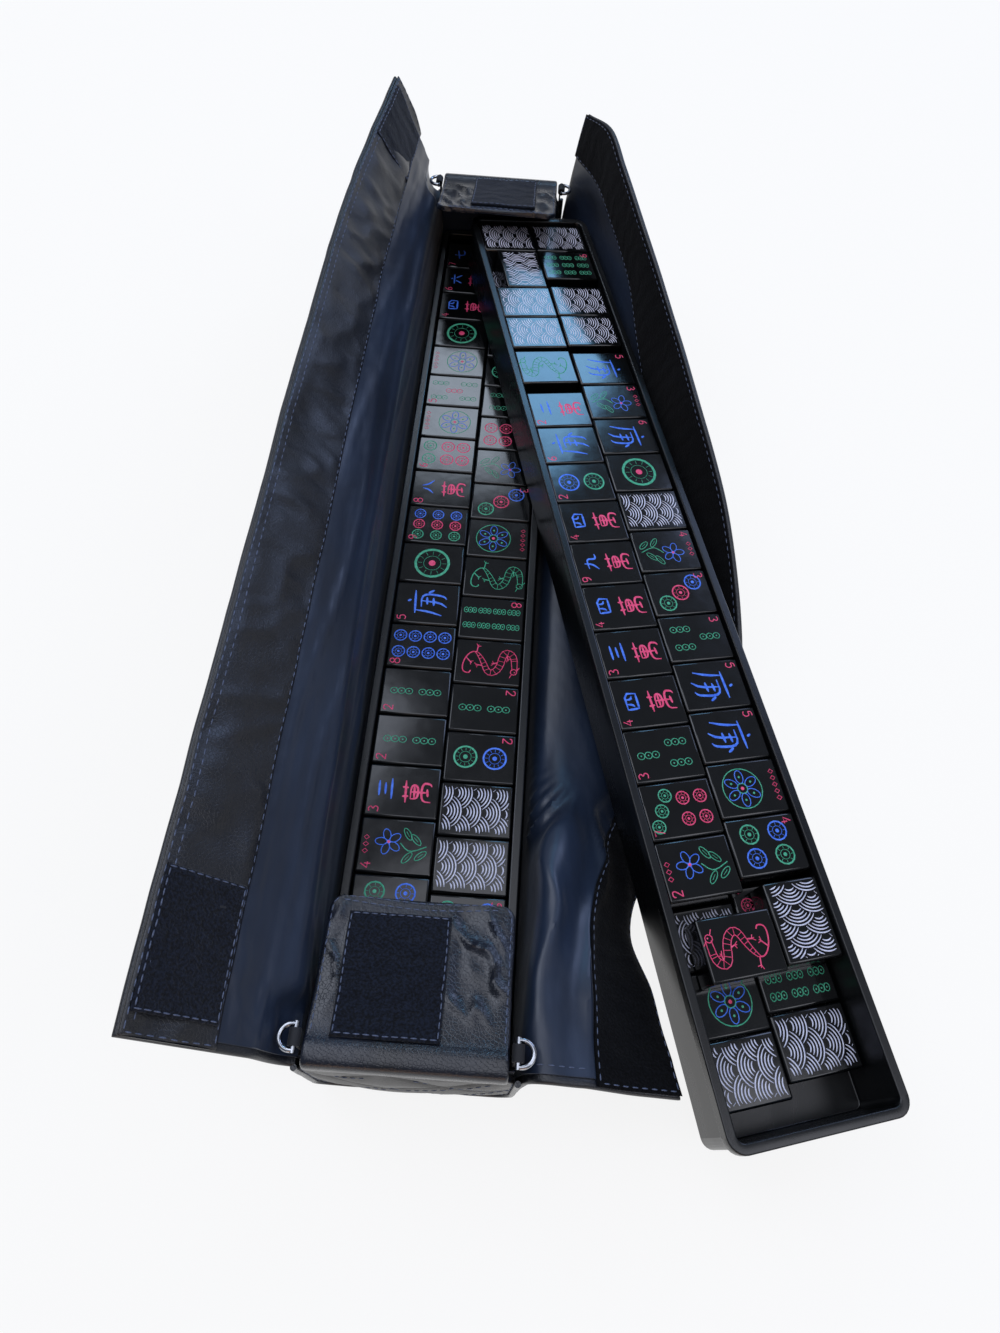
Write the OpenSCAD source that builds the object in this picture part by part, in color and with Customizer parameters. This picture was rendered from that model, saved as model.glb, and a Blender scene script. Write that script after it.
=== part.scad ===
// A soft padded case for a mahjong set, lying open, with its two long tile trays.
// One tray is in the case. The other has been lifted out and leans across it.
// X is across the case, Y runs along it from the near end to the far end, and Z is up.
// The origin is the middle of the case's underside.

/* [Tiles] */
// Length of a tile, across its tray
tile_l = 31; // [26:0.5:36]
// Width of a tile, along its tray
tile_w = 23.6; // [20:0.1:27]
// Thickness of a tile
tile_t = 12.6; // [10:0.1:15]
// Corner bevel of a tile
tile_bevel = 1.2; // [0.4:0.1:2]
// Play beside each tile
tile_gap = 0.45; // [0.2:0.05:1]

/* [Trays] */
// Rows of tiles that a tray has room for
tray_rows = 20; // [16:1:22]
// Rows of tiles that each tray holds now
filled_rows = 19; // [16:1:19]
// Wall of a tray
tray_wall = 1.8; // [1.2:0.1:2.6]
// Floor of a tray
tray_floor = 1.8; // [1.2:0.1:3]
// Height of the rim above the tiles
rim_over = 2; // [1:0.5:6]
// How far the rim's lip stands out
lip_out = 1.9; // [1:0.1:2.6]
// Height of the rim's lip
lip_h = 5; // [3:0.5:9]
// Corner radius of a tray's lip
tray_corner = 5.5; // [5:0.5:8]

/* [Lifted tray] */
// Turn of the lifted tray in plan, in degrees
lift_yaw = 15; // [12:0.5:15]
// Lean of the lifted tray towards the right, in degrees
lift_lean = 7.5; // [6:0.5:8]
// Middle of the lifted tray, right of the case's middle line
lift_x = 77.2; // [76:0.2:79]
// Middle of the lifted tray, along the case
lift_y = -22; // [-26:1:-18]

/* [Case] */
// Padded side and end panels
panel_t = 2.8; // [2:0.1:3.6]
// Padded base panel
base_t = 2.6; // [2:0.1:5]
// Stiffening board in the base
board_t = 1.2; // [0.8:0.1:3]
// Lining cloth
lining_t = 0.6; // [0.3:0.1:1]
// Room round a tray in the case
tray_room = 1.5; // [1:0.1:3]
// Room over two stacked trays
head_room = 3; // [2:0.5:6]
// How far the left side bulges at the middle of its top edge
left_bulge = 6; // [3:0.5:7]

/* [Flaps] */
// Width of a side flap, from its fold to its free edge
flap_w = 57; // [48:1:62]
// Length of an end flap, from its fold to its free edge
end_flap_l = 57; // [50:1:60]
// Width of the facing strip along a side flap's free edge
strip_w = 33; // [26:1:36]
// Thickness of the facing and of the loop tape
strip_t = 0.9; // [0.6:0.1:1.2]
// Width of a loop patch
patch_w = 37; // [28:1:42]
// Length of a loop patch
patch_l = 44; // [34:1:46]
// Angle that the left flap stands at, at its near end
left_near_deg = 48; // [40:1:54]
// Angle that the left flap stands at, at its far end
left_far_deg = 70; // [60:1:76]
// Droop of the near end flap
near_droop_deg = 8; // [4:1:12]
// Rise of the far end flap
far_rise_deg = 15; // [14:1:20]

/* [Fold] */
// Radius of the soft fold that a flap turns on
fold_r = 4.2; // [3:0.1:4.6]
// Radius of the soft fold of an end flap
end_fold_r = 3; // [2.2:0.1:4]
// Clearance between a fold and its flap
fold_gap = 0.4; // [0.3:0.1:0.8]

/* [Rings] */
// Wire diameter of a D-ring
ring_wire = 1.8; // [1.2:0.1:2.4]
// Outer width of a D-ring
ring_w = 10; // [8:0.5:12]
// Depth of a D-ring from its bar to its bow
ring_d = 5.2; // [4:0.1:6]
// Thickness of the webbing tabs
webbing_t = 0.8; // [0.5:0.1:1]

/* [Hidden] */

skin = "#15161c";
cloth = "#10141f";
pile = "#171a26";
plastic = "#0c0c0d";
resin = "#141414";
silver = "silver";

// Clearance under a seated piece, and between two laid cloths
seat = 0.2;
laid = 0.05;
// Clearance between the lifted tray and the rim that it rests on
rim_clear = 0.3;
rounding = 48;

tile_pitch = tile_w + tile_gap;
tray_in_w = 2 * tile_l + 3 * tile_gap;
tray_in_l = tray_rows * tile_pitch + tile_gap;
tray_body_w = tray_in_w + 2 * tray_wall;
tray_body_l = tray_in_l + 2 * tray_wall;
tray_w = tray_body_w + 2 * lip_out;
tray_l = tray_body_l + 2 * lip_out;
tray_h = tray_floor + 2 * tile_t + rim_over;

// Slack beyond the far row of each column
lower_left_slack = 7;
lower_right_slack = 13;
upper_left_slack = 16.3;
upper_right_slack = 11.5;
// The top rows nearest the far end have slid towards it, and the very last ones touch it
end_slack = 0.4;
left_far_slack = 7.7;
left_fourth_slack = 9.8;
right_far_slack = 6.5;
// Rows of the lower tray that the lifted tray covers, left and right column
left_covered = 5;
right_covered = 9;
// Rows of the upper tray's top layer: first and last, both columns
top_first = 2;
top_last = 15;
// Deep rows of the upper tray that have slid to its far end, so that they carry the top tiles there
deep_slid = top_first + 1;

floor_z = base_t + board_t + lining_t;
lower_z = floor_z + seat;
lower_rim_z = lower_z + tray_h;
crease_z = floor_z + 2 * tray_h + head_room;
wall_top_z = crease_z - 5.6;
in_x = tray_w / 2 + tray_room;
in_y = tray_l / 2 + tray_room;
wall_x = in_x + lining_t;
wall_y = in_y + lining_t;
out_x = wall_x + panel_t;
out_y = wall_y + panel_t;

// The lifted tray's underside passes just over the lower tray's right rim
lift_z = lower_rim_z + rim_clear + tan(lift_lean) * (tray_w / 2 - lift_x);
function under(x) = lift_z - tan(lift_lean) * (x - lift_x);
// Where a line along the lifted tray, at a distance from its middle, crosses a place along the case
function along_tray(y, off) =
    lift_x + off * cos(lift_yaw) * cos(lift_lean)
    - tan(lift_yaw) * cos(lift_lean) * (y - lift_y - off * sin(lift_yaw));
function body_right(y) = along_tray(y, tray_body_w / 2);
function body_left(y) = along_tray(y, -tray_body_w / 2);
function lip_right(y) = along_tray(y, tray_w / 2) + tray_h * sin(lift_lean);

// Axes of the folds
left_axis = wall_x + panel_t / 2 + left_bulge / 2;
end_axis = wall_y + panel_t / 2;
flap_root = fold_r + fold_gap;
end_root = end_fold_r + fold_gap;
// A side flap is cut back at both ends of its root, to clear the rings
corner_cut = 5.4;
corner_len = 14;
end_flap_half = in_x - 2.6;

// Smoothly joins the values of a table of [place, value] rows, where a value may be a list of points
function span(t, f, i = 0) = (i >= len(t) - 2 || f < t[i + 1][0]) ? i : span(t, f, i + 1);
function slope(t, i) =
    let (a = max(i - 1, 0), b = min(i + 1, len(t) - 1)) (t[b][1] - t[a][1]) / (t[b][0] - t[a][0]);
function joined(t, f) =
    let (i = span(t, f), h = t[i + 1][0] - t[i][0], s = (f - t[i][0]) / h)
        (2 * s ^ 3 - 3 * s ^ 2 + 1) * t[i][1] + (s ^ 3 - 2 * s ^ 2 + s) * h * slope(t, i)
        + (3 * s ^ 2 - 2 * s ^ 3) * t[i + 1][1] + (s ^ 3 - s ^ 2) * h * slope(t, i + 1);

// Rounds an outline off by cutting its corners, keeping its two ends
function cut_corners(p) = let (n = len(p)) [
    for (i = [0:n - 2]) each [
        i == 0 ? p[0] : 0.75 * p[i] + 0.25 * p[i + 1],
        i == n - 2 ? p[n - 1] : 0.25 * p[i] + 0.75 * p[i + 1]
    ]
];
function part_of(p, a, b) = [for (i = [a:b]) p[i]];

// A sheet between two distances from a path, drawn across the case at each station along it.
// It runs from one point of the path to another, and the first few points may be set off level.
function unit(v) = v / norm(v);
function inward(p, i, level) =
    i < level ? [-1, 0]
    : let (a = p[max(i - 1, 0)], b = p[min(i + 1, len(p) - 1)], d = unit(b - a)) [-d[1], d[0]];
function set_off(p, i, d, level, y) =
    let (q = p[i] + d * inward(p, i, level)) [q[0], y, max(q[1], base_t)];
module sheet(ys, paths, from, to, lo, hi, level = 0) {
    n = to - from + 1;
    m = len(ys);
    k = 2 * n;
    points = [
        for (j = [0:m - 1]) each concat(
            [for (i = [from:to]) set_off(paths[j], i, lo, level, ys[j])],
            [for (i = [to:-1:from]) set_off(paths[j], i, hi, level, ys[j])])
    ];
    // The quads of both faces are split along the same diagonal, so that sheets lie flat on each other
    skin_faces = [
        for (j = [0:m - 2], i = [0:k - 1])
            let (a = j * k + i, b = j * k + (i + 1) % k)
                each i < n ? [[a, b, a + k], [b, b + k, a + k]] : [[a, b, b + k], [a, b + k, a + k]]
    ];
    near_faces = [for (i = [0:n - 2]) each [[i, k - 1 - i, i + 1], [i + 1, k - 1 - i, k - 2 - i]]];
    e = (m - 1) * k;
    far_faces = [
        for (i = [0:n - 2])
            each [[e + i, e + i + 1, e + k - 1 - i], [e + i + 1, e + k - 2 - i, e + k - 1 - i]]
    ];
    polyhedron(points = points, faces = concat(skin_faces, near_faces, far_faces));
}
function stations(a, b, steps) = [for (i = [0:steps]) a + (b - a) * i / steps];

// The left side: a wall that bulges a little, and a flap that turns on a straight fold
function left_bow(y) = left_bulge * (1 - (y / out_y) ^ 2);
function left_wall_path(y) = [[wall_x, base_t], [wall_x + left_bow(y), wall_top_z]];
left_turn = [
    [-1, left_near_deg], [-0.4, left_near_deg + 2], [0.4, left_near_deg + 4],
    [0.64, left_near_deg + 9], [0.82, left_far_deg - 6], [1, left_far_deg]
];
function near_end(y) = max(0, (abs(y) - (out_y - corner_len)) / corner_len);
function root_at(y) = flap_root + corner_cut * min(1, 2 * near_end(y));
function on_left_flap(y, r) =
    let (a = joined(left_turn, y / out_y)) [left_axis + r * cos(a), crease_z + r * sin(a)];
flap_end = flap_w + 1;
strip_from = flap_end - strip_w;
patch_edge = 1.5;
// Points across the flap: its root, its lining's middle and end, the patch's two edges, the free edge
function left_flap_path(y) = [
    for (r = [root_at(y), (flap_root + strip_from) / 2, strip_from,
              strip_from + patch_edge, flap_end - patch_edge, flap_end])
        on_left_flap(y, r)
];
patch_from = out_y - 7;
left_ends = [out_y, wall_y, patch_from, out_y - corner_len, patch_from - patch_l];
left_ys = concat(
    [for (y = left_ends) -y],
    stations(-0.72 * out_y, 0.72 * out_y, 9),
    [for (i = [len(left_ends) - 1:-1:0]) left_ends[i]]);
left_last = len(left_ys) - 1;

// The right side: pressed down and out by the lifted tray, so that it is one long drape.
// Each row holds the wall's foot, its bend, the fold, the flap's bend and its free edge.
// Heights in these rows are held by the case's top, or by the lifted tray's underside
top = crease_z;
right_drape = [
    [-1.00, [[wall_x, base_t], [wall_x + 0.5, top / 2], [wall_x + 3, top],
             [wall_x + 30, top - 11], [wall_x + 58.5, top - 22]]],
    [-0.86, [[wall_x, base_t], [wall_x + 1.5, top / 2], [wall_x + 4.5, top - 3],
             [wall_x + 27, top - 18], [wall_x + 50, top - 34]]],
    [-0.76, [[wall_x, base_t], [wall_x + 2, top / 2], [wall_x + 6.5, top - 5.6],
             [wall_x + 27, top - 25], [wall_x + 44, top - 44]]],
    [-0.66, [[wall_x, base_t], [wall_x + 3, top / 2], [wall_x + 10.5, top - 11],
             [wall_x + 34, top - 36], [wall_x + 52, top - 50]]],
    [-0.56, [[wall_x, base_t], [wall_x + 3, top / 2], [wall_x + 20, under(58) + 5],
             [wall_x + 40, under(78) - 9], [body_right(-0.56 * out_y) - 32, 13]]],
    [-0.44, [[wall_x, base_t], [wall_x + 3, under(40) - 6], [wall_x + 35, under(72) - 6],
             [wall_x + 62, 15], [body_right(-0.44 * out_y) - 5, 16]]],
    [-0.24, [[wall_x, base_t], [wall_x + 3, under(40) - 8], [wall_x + 45, under(82) - 6],
             [body_right(-0.24 * out_y) + 3, 13.5], [body_right(-0.24 * out_y) + 12, 30]]],
    [0.00, [[wall_x, base_t], [wall_x + 3, under(40) - 8], [wall_x + 44, under(82) - 6],
            [body_right(0) + 5, 18], [body_right(0) + 20, 54]]],
    [0.24, [[wall_x, base_t], [wall_x + 3, under(40) - 8], [wall_x + 46, under(84) - 4.5],
            [body_right(0.24 * out_y) + 8, 22], [lip_right(0.24 * out_y) + 14, 74]]],
    [0.44, [[wall_x, base_t], [wall_x + 5, under(42) - 10], [body_right(0.44 * out_y) + 7, 22.5],
            [lip_right(0.44 * out_y) + 6, 50], [lip_right(0.44 * out_y) + 15, 82]]],
    [0.64, [[wall_x, base_t], [body_right(0.64 * out_y) + 4, 18], [body_right(0.64 * out_y) + 10, 43],
            [lip_right(0.64 * out_y) + 8, 70], [lip_right(0.64 * out_y) + 11, 98]]],
    [0.80, [[wall_x, base_t], [body_right(0.80 * out_y) + 4, 20], [lip_right(0.80 * out_y) + 4, top - 13],
            [lip_right(0.80 * out_y) + 7, 81], [lip_right(0.80 * out_y) + 9, top + 43]]],
    [0.90, [[wall_x, base_t], [wall_x + 10, 24], [wall_x + 18, top - 6],
            [wall_x + 20, top + 20], [wall_x + 22, top + 48]]],
    [1.00, [[wall_x, base_t], [wall_x + 0.5, top / 2], [wall_x + 3, top],
            [wall_x + 6.5, top + 21], [wall_x + 10, top + 42]]]
];
function drape_at(y) = cut_corners(cut_corners(joined(right_drape, y / out_y)));
wall_end = 5;
fold_end = 8;
drape_end = 13;
strip_start = 10;
right_ys = concat([-out_y], stations(-wall_y, wall_y, 28), [out_y]);
right_last = len(right_ys) - 1;
right_paths = [for (y = right_ys) drape_at(y)];
module drape(from, to, lo, hi) sheet(right_ys, right_paths, from, to, lo, hi, 1);

module rounded_box(w, l, h, r) {
    linear_extrude(h) {
        square([w - 2 * r, l], center = true);
        square([w, l - 2 * r], center = true);
        for (x = [-1, 1], y = [-1, 1])
            translate([x * (w / 2 - r), y * (l / 2 - r)]) circle(r, $fn = rounding);
    }
}

module case_base() color(skin) rounded_box(2 * out_x, 2 * out_y, base_t, 3);
module base_board() color("#8a7a5c")
    translate([0, 0, base_t]) rounded_box(2 * in_x - 1, 2 * in_y - 1, board_t, 3);
module floor_lining() color(cloth)
    translate([0, 0, base_t + board_t]) rounded_box(2 * in_x - 0.4, 2 * in_y - 0.4, lining_t, 3);

module left_wall() color(skin) mirror([1, 0, 0])
    sheet(left_ys, [for (y = left_ys) left_wall_path(y)], 0, 1, -panel_t, 0, 2);
module left_lining() color(cloth) mirror([1, 0, 0]) {
    ys = part_of(left_ys, 1, left_last - 1);
    sheet(ys, [for (y = ys) left_wall_path(y)], 0, 1, laid, lining_t, 2);
}
module right_wall() color(skin) drape(0, wall_end, -panel_t, 0);
module right_lining() color(cloth)
    sheet(part_of(right_ys, 1, right_last - 1), part_of(right_paths, 1, right_last - 1),
          0, wall_end, laid, lining_t, 1);
module right_fold() color(skin) drape(wall_end, fold_end, -panel_t, 0);

// An end wall stands between the two side walls
module end_panel(y0, y1, half) linear_extrude(wall_top_z - base_t)
    polygon([[-half, y0], [half, y0], [half, y1], [-half, y1]]);
module near_wall() color(skin) translate([0, 0, base_t]) end_panel(-out_y, -wall_y, wall_x - 0.1);
module far_wall() color(skin) translate([0, 0, base_t]) end_panel(wall_y, out_y, wall_x - 0.1);
module near_lining() color(cloth)
    translate([0, 0, base_t]) end_panel(-wall_y + laid, -in_y, in_x - 0.1);
module far_lining() color(cloth)
    translate([0, 0, base_t]) end_panel(in_y, wall_y - laid, in_x - 0.1);

piping_r = 1.2;
module corner_piping() color(skin)
    for (x = [-1, 1], y = [-1, 1])
        translate([x * (wall_x + 0.6), y * (out_y + piping_r + laid), base_t / 2])
            cylinder(r = piping_r, h = wall_top_z - base_t, $fn = rounding);

// A soft fold: a round roll on a short neck that stands on the wall's top
module fold(r, length) rotate([90, 0, 0]) linear_extrude(length, center = true) {
    circle(r, $fn = rounding);
    translate([-r * 0.6, wall_top_z - crease_z]) square([r * 1.2, crease_z - wall_top_z]);
}
module left_fold() color(skin)
    translate([-left_axis, 0, crease_z]) fold(fold_r, 2 * (out_y - corner_len));
module near_fold() color(skin)
    translate([0, -end_axis, crease_z]) rotate([0, 0, 90]) fold(end_fold_r, 2 * end_flap_half);
module far_fold() color(skin)
    translate([0, end_axis, crease_z]) rotate([0, 0, 90]) fold(end_fold_r, 2 * end_flap_half);

half_t = panel_t / 2;
module left_sheet(ys, from, to, lo, hi) mirror([1, 0, 0])
    sheet(ys, [for (y = ys) left_flap_path(y)], from, to, lo, hi);
module left_flap() color(skin) left_sheet(left_ys, 0, 5, -half_t, half_t);
module left_flap_lining() color(cloth) left_sheet(left_ys, 0, 2, half_t + laid, half_t + lining_t);
module left_facing() color(skin) left_sheet(left_ys, 2, 5, half_t + laid, half_t + strip_t);
patch_lo = half_t + strip_t + laid;
module left_patches() color(pile) {
    left_sheet(part_of(left_ys, 2, 4), 3, 4, patch_lo, patch_lo + strip_t);
    left_sheet(part_of(left_ys, left_last - 4, left_last - 2), 3, 4, patch_lo, patch_lo + strip_t);
}

module right_flap() color(skin) drape(fold_end, drape_end, -panel_t, 0);
module right_flap_lining() color(cloth) drape(wall_end, strip_start, laid, lining_t);
module right_loop_strip() color(pile) drape(strip_start, drape_end, laid, strip_t);

// An end flap lies along +Y from its fold at the origin, with rounded free corners
module end_flap(l) {
    r = 5;
    linear_extrude(panel_t, convexity = 4) translate([0, end_root]) {
        translate([-end_flap_half, 0]) square([2 * end_flap_half, l - r]);
        translate([-end_flap_half + r, 0]) square([2 * (end_flap_half - r), l]);
        for (x = [-1, 1]) translate([x * (end_flap_half - r), l - r]) circle(r, $fn = rounding);
    }
}
near_patch_x = -7.5;
far_patch_x = 3.5;
patch_inset = 6;
module end_patch(x, l) translate([0, 0, panel_t + laid]) linear_extrude(strip_t)
    translate([x - patch_w / 2, end_root + l - patch_l - patch_inset]) square([patch_w, patch_l]);
flap_face_l = end_flap_l - end_root;
module near_place() translate([0, -end_axis, crease_z]) rotate([-near_droop_deg, 0, 0])
    translate([0, 0, -half_t]) children();
module far_place() translate([0, end_axis, crease_z]) rotate([-far_rise_deg, 0, 0]) rotate([0, 0, 180])
    translate([0, 0, -half_t]) children();
module near_flap() color(skin) near_place() end_flap(flap_face_l);
module far_flap() color(skin) far_place() end_flap(flap_face_l);
module near_flap_patch() color(pile) near_place() end_patch(near_patch_x, flap_face_l);
module far_flap_patch() color(pile) far_place() end_patch(-far_patch_x, flap_face_l);

// A D-ring lies over each corner on a bar that a webbing tab holds
ring_x = in_x + 0.2;
ring_y = out_y - 8;
ring_z = crease_z + 1.8;
ring_r = ring_wire / 2;
tab_w = ring_w - 2 * ring_wire - 0.8;
module at_corner(x, y) translate([x * ring_x, y * ring_y, ring_z]) mirror([x < 0 ? 1 : 0, 0, 0]) children();
module ring() {
    side = ring_w / 2 - ring_r;
    bow_r = side;
    rotate([90, 0, 0]) cylinder(r = ring_r, h = ring_w, center = true, $fn = rounding);
    for (y = [-1, 1]) translate([0, y * side, 0]) rotate([0, 90, 0])
        cylinder(r = ring_r, h = ring_d - bow_r + 0.01, $fn = rounding);
    translate([ring_d - bow_r, 0, 0]) rotate([0, 0, -90]) rotate_extrude(angle = 180, $fn = rounding)
        translate([bow_r, 0]) circle(ring_r, $fn = rounding);
}
loop_in = ring_r + 0.35;
loop_out = loop_in + webbing_t;
module tab() {
    rotate([90, 0, 0]) linear_extrude(tab_w, center = true) difference() {
        union() {
            circle(loop_out, $fn = rounding);
            translate([-0.4 - webbing_t, wall_top_z - 8 - ring_z]) square([webbing_t, 8 + ring_z - wall_top_z]);
        }
        circle(loop_in, $fn = rounding);
    }
}
module ring_tabs() color("#0d0e12") for (x = [-1, 1], y = [-1, 1]) at_corner(x, y) tab();
module ring_near_left() color(silver) at_corner(-1, -1) ring();
module ring_near_right() color(silver) at_corner(1, -1) ring();
module ring_far_left() color(silver) at_corner(-1, 1) ring();
module ring_far_right() color(silver) at_corner(1, 1) ring();

// A tray stands on its floor at the origin
module tray() difference() {
    union() {
        rounded_box(tray_body_w, tray_body_l, tray_h, tray_corner - lip_out);
        translate([0, 0, tray_h - lip_h]) rounded_box(tray_w, tray_l, lip_h, tray_corner);
    }
    translate([0, 0, tray_floor])
        rounded_box(tray_in_w, tray_in_l, tray_h, tray_corner - lip_out - tray_wall);
}
module tile() linear_extrude(tile_t) {
    a = tile_l / 2;
    b = tile_w / 2;
    c = tile_bevel;
    polygon([[-a + c, -b], [a - c, -b], [a, -b + c], [a, b - c],
             [a - c, b], [-a + c, b], [-a, b - c], [-a, -b + c]]);
}
// Tiles of one column (-1 left, 1 right) of a layer (0 deep, 1 top), counted from the far end
module column(side, layer, slack, first, last)
    for (k = [first:last])
        translate([side * (tile_l + tile_gap) / 2, tray_in_l / 2 - slack - tile_w / 2 - k * tile_pitch,
                   tray_floor + laid + layer * (tile_t + laid)]) tile();
module in_lower() translate([0, 0, lower_z]) children();
module in_upper() translate([lift_x, lift_y, lift_z]) rotate([0, lift_lean, 0]) rotate([0, 0, lift_yaw])
    children();
// A loose tile on top of the deep layer of the lifted tray
module loose(x, y, turned) in_upper()
    translate([x, y, tray_floor + tile_t + 2 * laid]) rotate([0, 0, turned ? 90 : 0]) tile();

last_row = filled_rows - 1;
module lower_tray() color(plastic) in_lower() tray();
module lower_deep_tiles() color(resin) in_lower() {
    column(-1, 0, lower_left_slack, 0, last_row);
    column(1, 0, lower_right_slack, 0, last_row);
}
module lower_covered_tiles() color(resin) in_lower() {
    column(-1, 1, lower_left_slack, 0, left_covered - 1);
    column(1, 1, lower_right_slack, 0, right_covered - 1);
}
module lower_open_tiles() color(resin) in_lower() {
    column(-1, 1, lower_left_slack, left_covered, last_row);
    column(1, 1, lower_right_slack, right_covered, last_row);
}
module upper_tray() color(plastic) in_upper() tray();
module upper_deep_tiles() color(resin) in_upper() {
    for (side = [-1, 1]) column(side, 0, end_slack, 0, deep_slid - 1);
    column(-1, 0, upper_left_slack, deep_slid, last_row);
    column(1, 0, upper_right_slack, deep_slid, last_row);
    // The top tiles under the far end flap stay with the deep ones
    column(-1, 1, end_slack, 0, 0);
    column(1, 1, end_slack, 0, top_first - 1);
}
module upper_top_tiles() color(resin) in_upper() {
    column(-1, 1, left_far_slack, top_first, top_first + 1);
    column(-1, 1, left_fourth_slack, top_first + 2, top_first + 2);
    column(-1, 1, upper_left_slack, top_first + 3, top_last);
    column(1, 1, right_far_slack, top_first, top_first + 1);
    column(1, 1, upper_right_slack, top_first + 2, top_last);
}
// Each loose tile lies beyond the end of the top rows
top_far_y = tray_in_l / 2 - left_far_slack - top_first * tile_pitch;
top_near_y = tray_in_l / 2 - upper_right_slack - (top_last + 1) * tile_pitch;
module turned_far_tile() color(resin) loose(-tile_w / 2 - tile_gap, top_far_y + tile_l / 2 + tile_gap, true);
module dragon_tile() color(resin)
    loose(tray_in_w / 2 - tile_gap / 2 - tile_w - 0.4 - tile_l / 2, top_near_y - tile_w / 2 - 11.5, false);
module turned_near_tile() color(resin)
    loose(tray_in_w / 2 - tile_gap / 2 - tile_w / 2, top_near_y - tile_l / 2 - 2.5, true);

case_base();
base_board();
floor_lining();
left_wall();
right_wall();
near_wall();
far_wall();
left_lining();
right_lining();
near_lining();
far_lining();
corner_piping();
left_fold();
right_fold();
near_fold();
far_fold();
left_flap();
left_flap_lining();
left_facing();
left_patches();
right_flap();
right_flap_lining();
right_loop_strip();
near_flap();
near_flap_patch();
far_flap();
far_flap_patch();
ring_tabs();
ring_near_left();
ring_near_right();
ring_far_left();
ring_far_right();
lower_tray();
lower_deep_tiles();
lower_covered_tiles();
lower_open_tiles();
upper_tray();
upper_deep_tiles();
upper_top_tiles();
turned_far_tile();
dragon_tile();
turned_near_tile();
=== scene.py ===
# %% [markdown]
# # A soft mahjong case with two trays of tiles
# The case is a long bag of quilted imitation leather that lies open on a table. It has a lining,
# two side flaps, two end flaps and four small D-rings. One tray of tiles is in it, and the other
# has been lifted out and leans across it. The sizes come from the CAD frame, and this script
# adds the surfaces: skins that puff between their stitches, cloth with folds, and painted tiles.

# %% Load the frame
import math

import bpy
import numpy as np
from mathutils import Matrix, Vector


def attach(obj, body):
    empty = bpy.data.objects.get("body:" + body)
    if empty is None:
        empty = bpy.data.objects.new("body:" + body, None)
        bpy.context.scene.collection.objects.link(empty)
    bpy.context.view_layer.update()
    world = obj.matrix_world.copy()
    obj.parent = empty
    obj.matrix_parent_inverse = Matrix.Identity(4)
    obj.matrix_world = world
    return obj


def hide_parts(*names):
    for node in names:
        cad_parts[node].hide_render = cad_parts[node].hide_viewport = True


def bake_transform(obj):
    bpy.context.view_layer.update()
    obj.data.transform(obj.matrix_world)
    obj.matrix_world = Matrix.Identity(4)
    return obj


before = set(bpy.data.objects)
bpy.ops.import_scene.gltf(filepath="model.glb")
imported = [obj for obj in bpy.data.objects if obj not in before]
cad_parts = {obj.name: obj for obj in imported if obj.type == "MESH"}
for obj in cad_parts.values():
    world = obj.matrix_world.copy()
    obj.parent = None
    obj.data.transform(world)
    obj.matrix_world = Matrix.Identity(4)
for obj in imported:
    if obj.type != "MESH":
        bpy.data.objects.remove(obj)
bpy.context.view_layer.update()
MM = 0.001

# %% [markdown]
# ## Sizes
# A few sizes of the real case are repeated here in millimetres.

# %% Sizes in millimetres
TILE_L, TILE_W, TILE_T = 31.0, 23.6, 12.6
TILE_GAP = 0.45
PITCH = TILE_W + TILE_GAP
TRAY_WALL, TRAY_FLOOR, LIP_OUT, LIP_H = 1.8, 1.8, 1.9, 5.0
TRAY_IN_W, TRAY_IN_L = 2 * TILE_L + 3 * TILE_GAP, 20 * PITCH + TILE_GAP
BODY_W, BODY_L = TRAY_IN_W + 2 * TRAY_WALL, TRAY_IN_L + 2 * TRAY_WALL
TRAY_W, TRAY_L = BODY_W + 2 * LIP_OUT, BODY_L + 2 * LIP_OUT
TRAY_H = TRAY_FLOOR + 2 * TILE_T + 2.0
BASE_T, FLOOR_Z = 2.6, 4.4
LOWER_Z = FLOOR_Z + 0.2
CREASE_Z = FLOOR_Z + 2 * TRAY_H + 3.0
WALL_TOP_Z = CREASE_Z - 5.6
IN_X, IN_Y = TRAY_W / 2 + 1.5, TRAY_L / 2 + 1.5
WALL_X, WALL_Y = IN_X + 0.6, IN_Y + 0.6
SKIN_T = 2.8
OUT_X, OUT_Y = WALL_X + SKIN_T, WALL_Y + SKIN_T
LEFT_BULGE = 6.0
LEFT_AXIS = WALL_X + SKIN_T / 2 + LEFT_BULGE / 2
END_AXIS = WALL_Y + SKIN_T / 2
FLAP_END, STRIP_FROM = 58.0, 25.0
LIFT_YAW, LIFT_LEAN = math.radians(15), math.radians(7.5)
LIFT_X, LIFT_Y = 77.2, -22.0
LIFT_Z = LOWER_Z + TRAY_H + 0.3 + math.tan(LIFT_LEAN) * (TRAY_W / 2 - LIFT_X)
print("case %.1f x %.1f mm, lifted tray's middle at z %.1f mm" % (2 * OUT_X, 2 * OUT_Y, LIFT_Z))

# %% [markdown]
# ## Camera
# The camera is a phone held over the near end and tipped steeply down. Its place and its turns
# were worked out from the rims of the trays, so the scene keeps the photograph's perspective.

# %% Camera
CAMERA_AT = (22.0, -274.6, 379.3)
PITCH_DOWN, YAW, ROLL = math.radians(60.07), math.radians(0.17), math.radians(4.08)
FOCAL_PX, IMAGE_H = 870.0, 1333.0


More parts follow.
